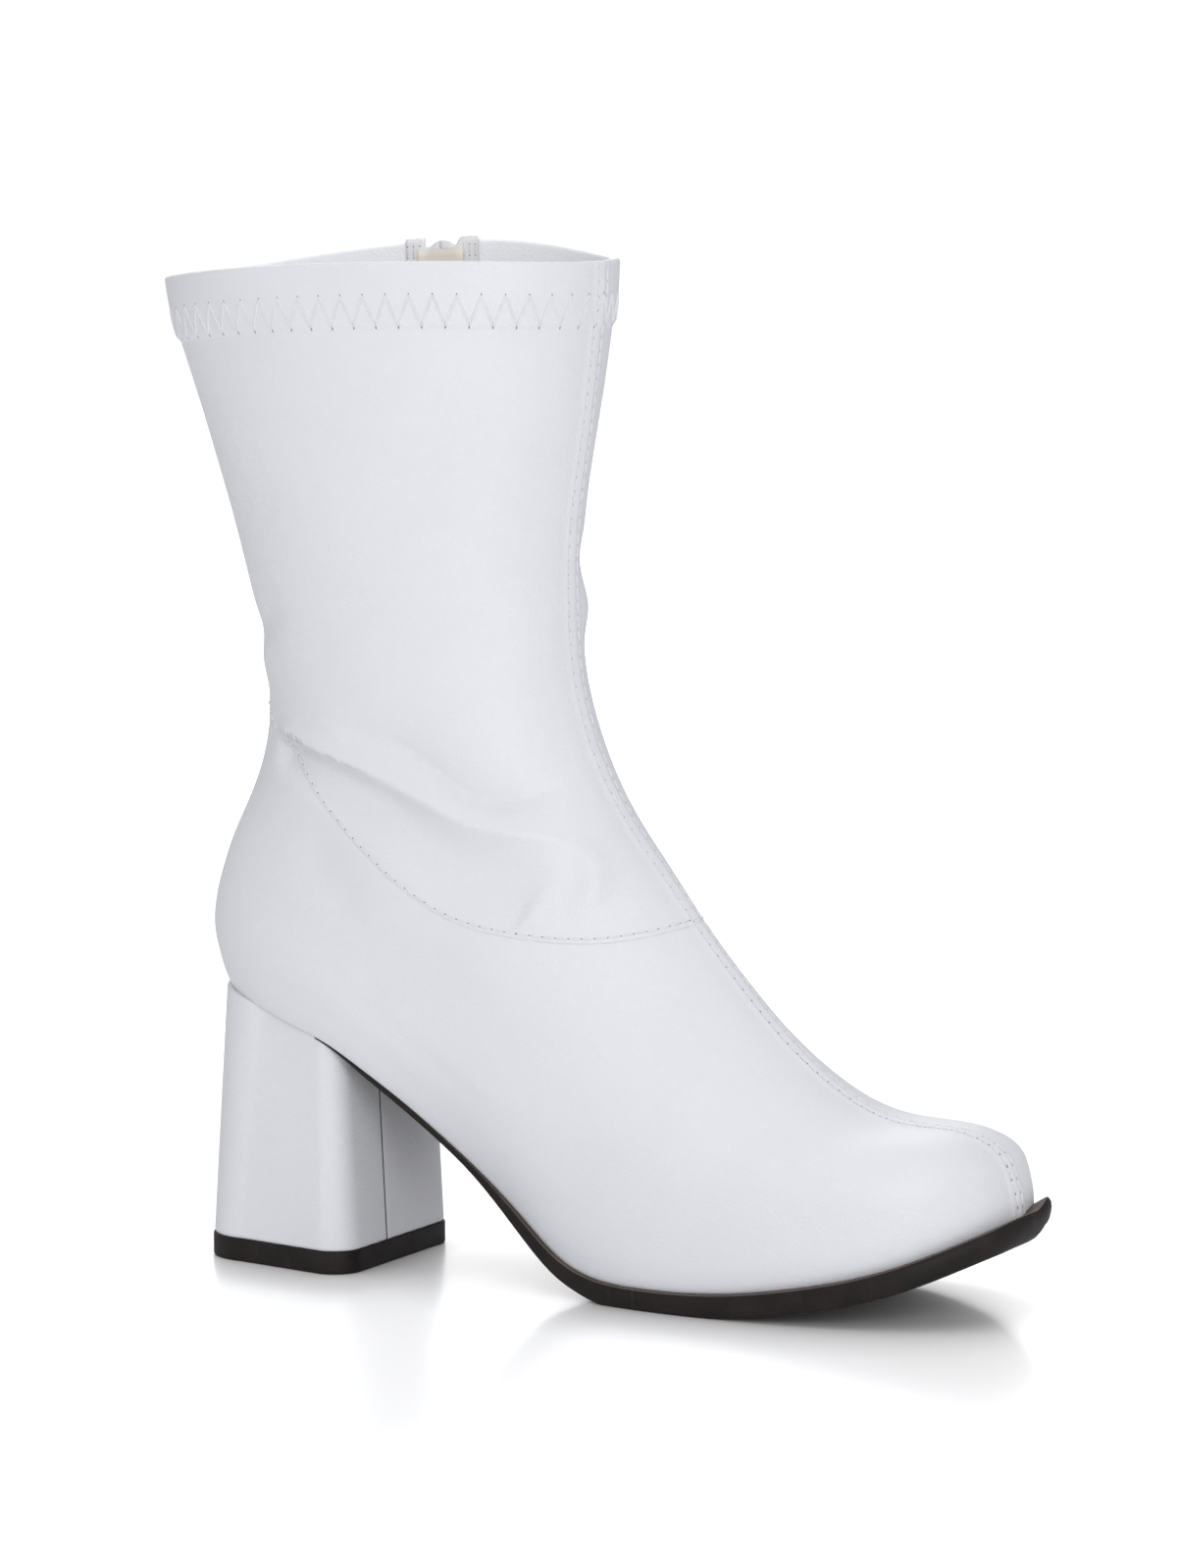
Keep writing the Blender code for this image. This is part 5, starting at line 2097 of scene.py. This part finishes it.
    def cloth(self) -> None:
        """Makes the two tapes and the guard behind them."""
        under = self.leg.thick + self.gap
        low = self.length() + self.below_slot
        rows, columns = self.tape_grid
        half = np.linspace(self.gap / 2, self.tape_half, columns)
        for name, offsets in (("zip_tape_front", -half[::-1]), ("zip_tape_back", half)):
            top = self.tape_top(offsets)
            points, normals, drop = self.leaning_sheet(offsets, low, top, rows)
            points[..., 2] += self.leg.ear_lift(drop) * self.sewn(offsets)
            mesh = strip(points, normals, under, under + self.tape_thick)
            tape = WARDROBE.dress(f"{name}_cloth", mesh, (WHITE_TAPE,), (name,))
        start = under + self.tape_thick + self.gap
        rows, columns = self.guard_grid
        offsets = np.linspace(-self.guard_half, self.guard_half, columns)
        points, normals, _ = self.leaning_sheet(offsets, low, self.guard_free, rows)
        mesh = strip(points, normals, start, start + self.guard_thick)
        name = "zip_guard"
        guard = WARDROBE.dress(f"{name}_cloth", mesh, (GUARD_CLOTH,), (name,))

    def coil(self) -> None:
        """Makes the coil: two rows of teeth that lock in turn."""
        top = self.slider_drop + self.slider_length / 2 + self.gap
        low = self.length() - self.chain_stop
        count = int((low - top) / (self.tooth_pitch / 2))
        points, normals = self.sheet(2 * ABREAST, low, top, count)
        cosines, sines = circle(self.tooth_sides)
        faces = flipped(tube_faces(len(TOOTH_SHAPE), self.tooth_sides))
        teeth = MeshHeap()
        for k in range(count):
            across = unit(points[k, 2] - points[k, 0]) * (1 if k % 2 else -1)
            out = normals[k, 1]
            up = np.cross(out, across)
            centre = points[k, 1] - self.chain_depth * out
            ring = cosines * up * self.tooth_low + sines * out * self.tooth_high
            rings = [
                centre + across * (self.tooth_start + reach) + self.tooth_radius * size * ring
                for reach, size in TOOTH_SHAPE
            ]
            teeth.add(np.vstack(rings), faces)
        WARDROBE.dress("zip_coil", teeth.mesh(), (WHITE_NYLON,), ("zip_chain",))

    def slider_place(self) -> ZipPlace:
        """Place of the slider; across is the tab's hinge direction.

        Returns:
            The place and its directions.
        """
        drop = self.slider_drop
        points, _ = self.sheet(ABREAST, drop + 3, drop - 3, 3)
        up = points[2, 1] - points[0, 1]
        up[0] = 0.0
        across = np.array([1.0, 0.0, 0.0])
        up = unit(up)
        return ZipPlace(points[1, 1], across, up, np.cross(up, across))

    @staticmethod
    def soften(piece: bpy.types.Object, width: float) -> None:
        """Rounds a metal piece's edges.

        Args:
            piece: The piece.
            width: Width of the rounding.
        """
        bevel = piece.modifiers.new("rounded_edges", "BEVEL")
        bevel.width = width * MM
        bevel.segments = 3
        bevel.limit_method = "ANGLE"
        piece.data.polygons.foreach_set("use_smooth", [False] * len(piece.data.polygons))

    def metal(self) -> None:
        """Makes the slider with its bail, and the tab that swings on it."""
        here = self.slider_place()
        half = self.slider_length / 2
        right = [(across, end * half + up) for across, end, up in SLIDER_EDGE]
        left = [(-across, up) for across, up in reversed(right)]
        outline = [left[-1], *right, (0.0, half - self.slider_notch), *left[:-1]]
        low, high = self.gap - self.leg.thick, self.slider_out
        slider = MeshHeap()
        verts = [here.at(a, u, o) for o in (low, high) for a, u in outline]
        slider.add(np.array(verts), tube_faces(2, len(outline)))
        n = len(BAIL_PROFILE)
        sides = (-self.bail_half, self.bail_half)
        verts = [here.at(a, u, o) for a in sides for u, o in BAIL_PROFILE]
        faces = flipped(ring_quads(2, n))
        for i in range(n // 2 - 1):
            quad = [i, i + 1, n - 2 - i, n - 1 - i]
            faces += [quad, [v + n for v in reversed(quad)]]
        slider.add(np.array(verts), faces)
        piece = WARDROBE.dress(
            "zip_slider_metal", slider.mesh(), (BRIGHT_PLATE,), ("zip_slider",)
        )
        self.soften(piece, self.slider_soft)
        self.tab(here)

    def tab(self, here: ZipPlace) -> None:
        """Makes the tab: a flat plate with a hole for the bail, hanging straight down.

        Args:
            here: Place of the slider.
        """
        down = np.array([0.0, 0.0, -1.0])
        hinge = here.at(0.0, 0.0, self.hinge_out)
        hang = ZipPlace(hinge, here.across, -down, np.cross(here.across, down))
        end = self.tab_round
        left = [(-across, up) for across, up in reversed(TAB_NECK)]
        outline = [left[-1], *TAB_NECK]
        for angle in np.radians(np.linspace(0, -180, 17)):
            outline.append((end * np.cos(angle), end - self.pull_length + end * np.sin(angle)))
        outline += left[:-1]
        n, sides = len(outline), len(TAB_HOLE)
        whole = n + sides
        depths = (-self.tab_half, self.tab_half)
        verts = [hang.at(a, u, o) for o in depths for a, u in (*outline, *TAB_HOLE)]
        faces = flipped([[i, (i + 1) % n, (i + 1) % n + whole, i + whole] for i in range(n)])
        for i in range(sides):
            a, b = n + i, n + (i + 1) % sides
            faces.append([a, b, b + whole, a + whole])
        for base, turn in ((0, 1), (whole, -1)):
            cut = [base + n + k for k in range(sides)]
            plate = [[base, base + 1, cut[1], cut[0]], [base + 1, base + 2, cut[2], cut[1]]]
            plate.append([base + n - 1, base, cut[0], cut[3]])
            plate.append([base + k for k in range(2, n)] + [cut[3], cut[2]])
            faces += [face[::turn] for face in plate]
        mesh = MeshData(np.array(verts), faces, [0] * len(faces))
        finishes = (BRIGHT_PLATE,)
        nodes = ("zip_pull",)
        tab = WARDROBE.dress("zip_pull_metal", mesh, finishes, nodes, Body.PULL)
        self.soften(tab, self.tab_soft)

    def build(self) -> None:
        """Makes the whole zip."""
        self.cloth()
        self.sewing()
        self.coil()
        self.metal()


class SoftLight(NamedTuple):
    """One soft box: where it stands from the boot, in metres, its size and power."""

    name: str
    right: float
    back: float
    up: float
    size: float
    power: float


@dataclass
class Studio:
    """Pale floor, soft boxes and the photograph's camera."""

    azimuth: float = 27.8
    elevation: float = 7.24
    distance: float = 1.966
    lens: float = 168.97
    target: tuple[float, float, float] = (-0.0021, -0.00195, 0.1339)
    floor_sides: int = 48
    floor_rings: Steps = (0.6, 1.6, 3.2)
    floor_shade: Colour = (0.95, 0.95, 0.955)
    floor_pale: Colour = (0.965, 0.965, 0.97)
    # Painted glow of the floor, seen only by the camera, near the boot and far from it, and where
    # it rises
    floor_glow: float = 0.45
    far_glow: float = 2.0
    glow_from: Pair = (0.2, 0.75)
    contact_shadow_reach: float = 0.04
    sky: float = 0.46
    backdrop: float = 1.05
    lights: tuple[SoftLight, ...] = (
        SoftLight("key_box", 0.3, 1.6, 0.46, 0.9, 12.0),
        SoftLight("side_box", -1.2, 0.9, 0.35, 1.0, 3.6),
        SoftLight("top_box", -0.1, -0.1, 1.6, 1.6, 10.6),
        SoftLight("toe_box", 1.4, 0.3, 0.45, 1.0, 2.5),
        SoftLight("rear_box", -0.2, -1.5, 0.8, 1.2, 9.0),
    )

    def directions(self) -> tuple[Vector, Vector]:
        """Directions to the camera and to the picture's right.

        Returns:
            The two directions, of length 1.
        """
        a, e = math.radians(self.azimuth), math.radians(self.elevation)
        back = Vector((math.sin(a) * math.cos(e), -math.cos(a) * math.cos(e), math.sin(e)))
        return back, Vector((math.cos(a), math.sin(a), 0.0))

    def floor(self) -> None:
        """Makes the floor, a wide disc with a ring of faces around the boot, with a painted glow
        seen by the camera and a painted contact shadow under the boot.
        """
        n = self.floor_sides
        cosines, sines = circle(n)
        ring = np.hstack([cosines, sines, 0 * sines])
        verts = np.vstack([ring * reach for reach in self.floor_rings])
        faces = [list(range(n))] + flipped(ring_quads(len(self.floor_rings), n))
        data = bpy.data.meshes.new("studio_floor")
        data.from_pydata(verts.tolist(), [], faces)
        material, bench, shader = new_material("pale_floor")
        grain = EFFECTS.put(bench, Effect.GRAIN, Pebbles=400.0, Clouds=3.0)
        pale, shade = rgba(self.floor_pale), rgba(self.floor_shade)
        bench.feed(shader.inputs["Base Color"], bench.blend(grain.outputs["Tone"], shade, pale))
        polish = {
            "Roughness": 0.35,
            "Specular IOR Level": 0.3,
            "Coat Weight": 1.0,
            "Coat IOR": 1.8,
            "Coat Roughness": 0.2,
            "Emission Color": (1.0, 1.0, 1.0, 1.0),
        }
        for socket, value in polish.items():
            shader.inputs[socket].default_value = value
        # Painted glow for the camera, rising away from the boot and dimmed by ambient occlusion
        # near it: a painted contact shadow
        reach = bench.add("ShaderNodeVectorMath", operation="LENGTH")
        bench.feed(reach.inputs[0], bench.add("ShaderNodeTexCoord").outputs["Object"])
        away = bench.window(reach.outputs["Value"], *self.glow_from)
        glow = bench.spread(away, self.floor_glow, self.far_glow)
        seen = bench.add("ShaderNodeLightPath").outputs["Is Camera Ray"]
        shadow = bench.add("ShaderNodeAmbientOcclusion", Distance=self.contact_shadow_reach)
        glow = bench.math("MULTIPLY", glow, bench.math("POWER", shadow.outputs["AO"], 2.0))
        bench.feed(shader.inputs["Emission Strength"], bench.math("MULTIPLY", glow, seen))
        data.materials.append(material)
        floor = bpy.data.objects.new("studio_floor", data)
        bpy.context.scene.collection.objects.link(floor)

    @staticmethod
    def aim(thing: bpy.types.Object, place_at: Vector, ahead: Vector) -> None:
        """Puts a lamp or camera in the scene at a place, facing ahead.

        Args:
            thing: The lamp or camera.
            place_at: Its place.
            ahead: Direction that it faces.
        """
        thing.location = place_at
        thing.rotation_mode = "QUATERNION"
        thing.rotation_quaternion = ahead.to_track_quat("-Z", "Y")
        bpy.context.scene.collection.objects.link(thing)

    def light(self) -> None:
        """Sets up the even sky and the soft boxes."""
        scene = bpy.context.scene
        world = bpy.data.worlds.new("studio_air")
        world.use_nodes = True
        bench = NodeBench(world.node_tree)
        sky = world.node_tree.nodes["Background"]
        sky.inputs["Color"].default_value = (0.98, 0.985, 1.0, 1.0)
        seen = bench.add("ShaderNodeLightPath").outputs["Is Camera Ray"]
        bench.feed(sky.inputs["Strength"], bench.spread(seen, self.sky, self.backdrop))
        scene.world = world
        back, right = self.directions()
        flat = Vector((back.x, back.y, 0.0)).normalized()
        target = Vector(self.target)
        for box in self.lights:
            data = bpy.data.lights.new(box.name, "AREA")
            data.shape = "SQUARE"
            data.size = box.size
            data.energy = box.power
            lamp = bpy.data.objects.new(box.name, data)
            away = right * box.right + flat * box.back + Vector((0.0, 0.0, box.up))
            self.aim(lamp, target + away, -away)
        scene.view_settings.view_transform = "Standard"

    def camera(self) -> None:
        """Puts the camera where the photograph was taken from."""
        back, _ = self.directions()
        data = bpy.data.cameras.new("photo_camera")
        data.lens = self.lens
        data.sensor_width = 36.0
        data.clip_end = 50.0
        camera = bpy.data.objects.new("photo_camera", data)
        self.aim(camera, Vector(self.target) + back * self.distance, -back)
        bpy.context.scene.camera = camera

    def build(self) -> None:
        """Makes the studio."""
        self.floor()
        self.light()
        self.camera()


def main() -> None:
    """Builds the boot piece by piece, then the studio."""
    logging.basicConfig(level=logging.INFO, format="%(name)s: %(message)s")
    last = Last()
    form = FormGrid(last)
    foot = FootPart(form)
    foot.build()
    leg = LegPart(form)
    leg.build()
    seams = Seams(foot, leg)
    seams.front()
    seams.ankle()
    seams.zip_edges()
    seams.hem()
    Heel(last).build()
    Sole(last).build()
    ZipFastener(form, leg).build()
    Studio().build()


if __name__ == "__main__":
    main()
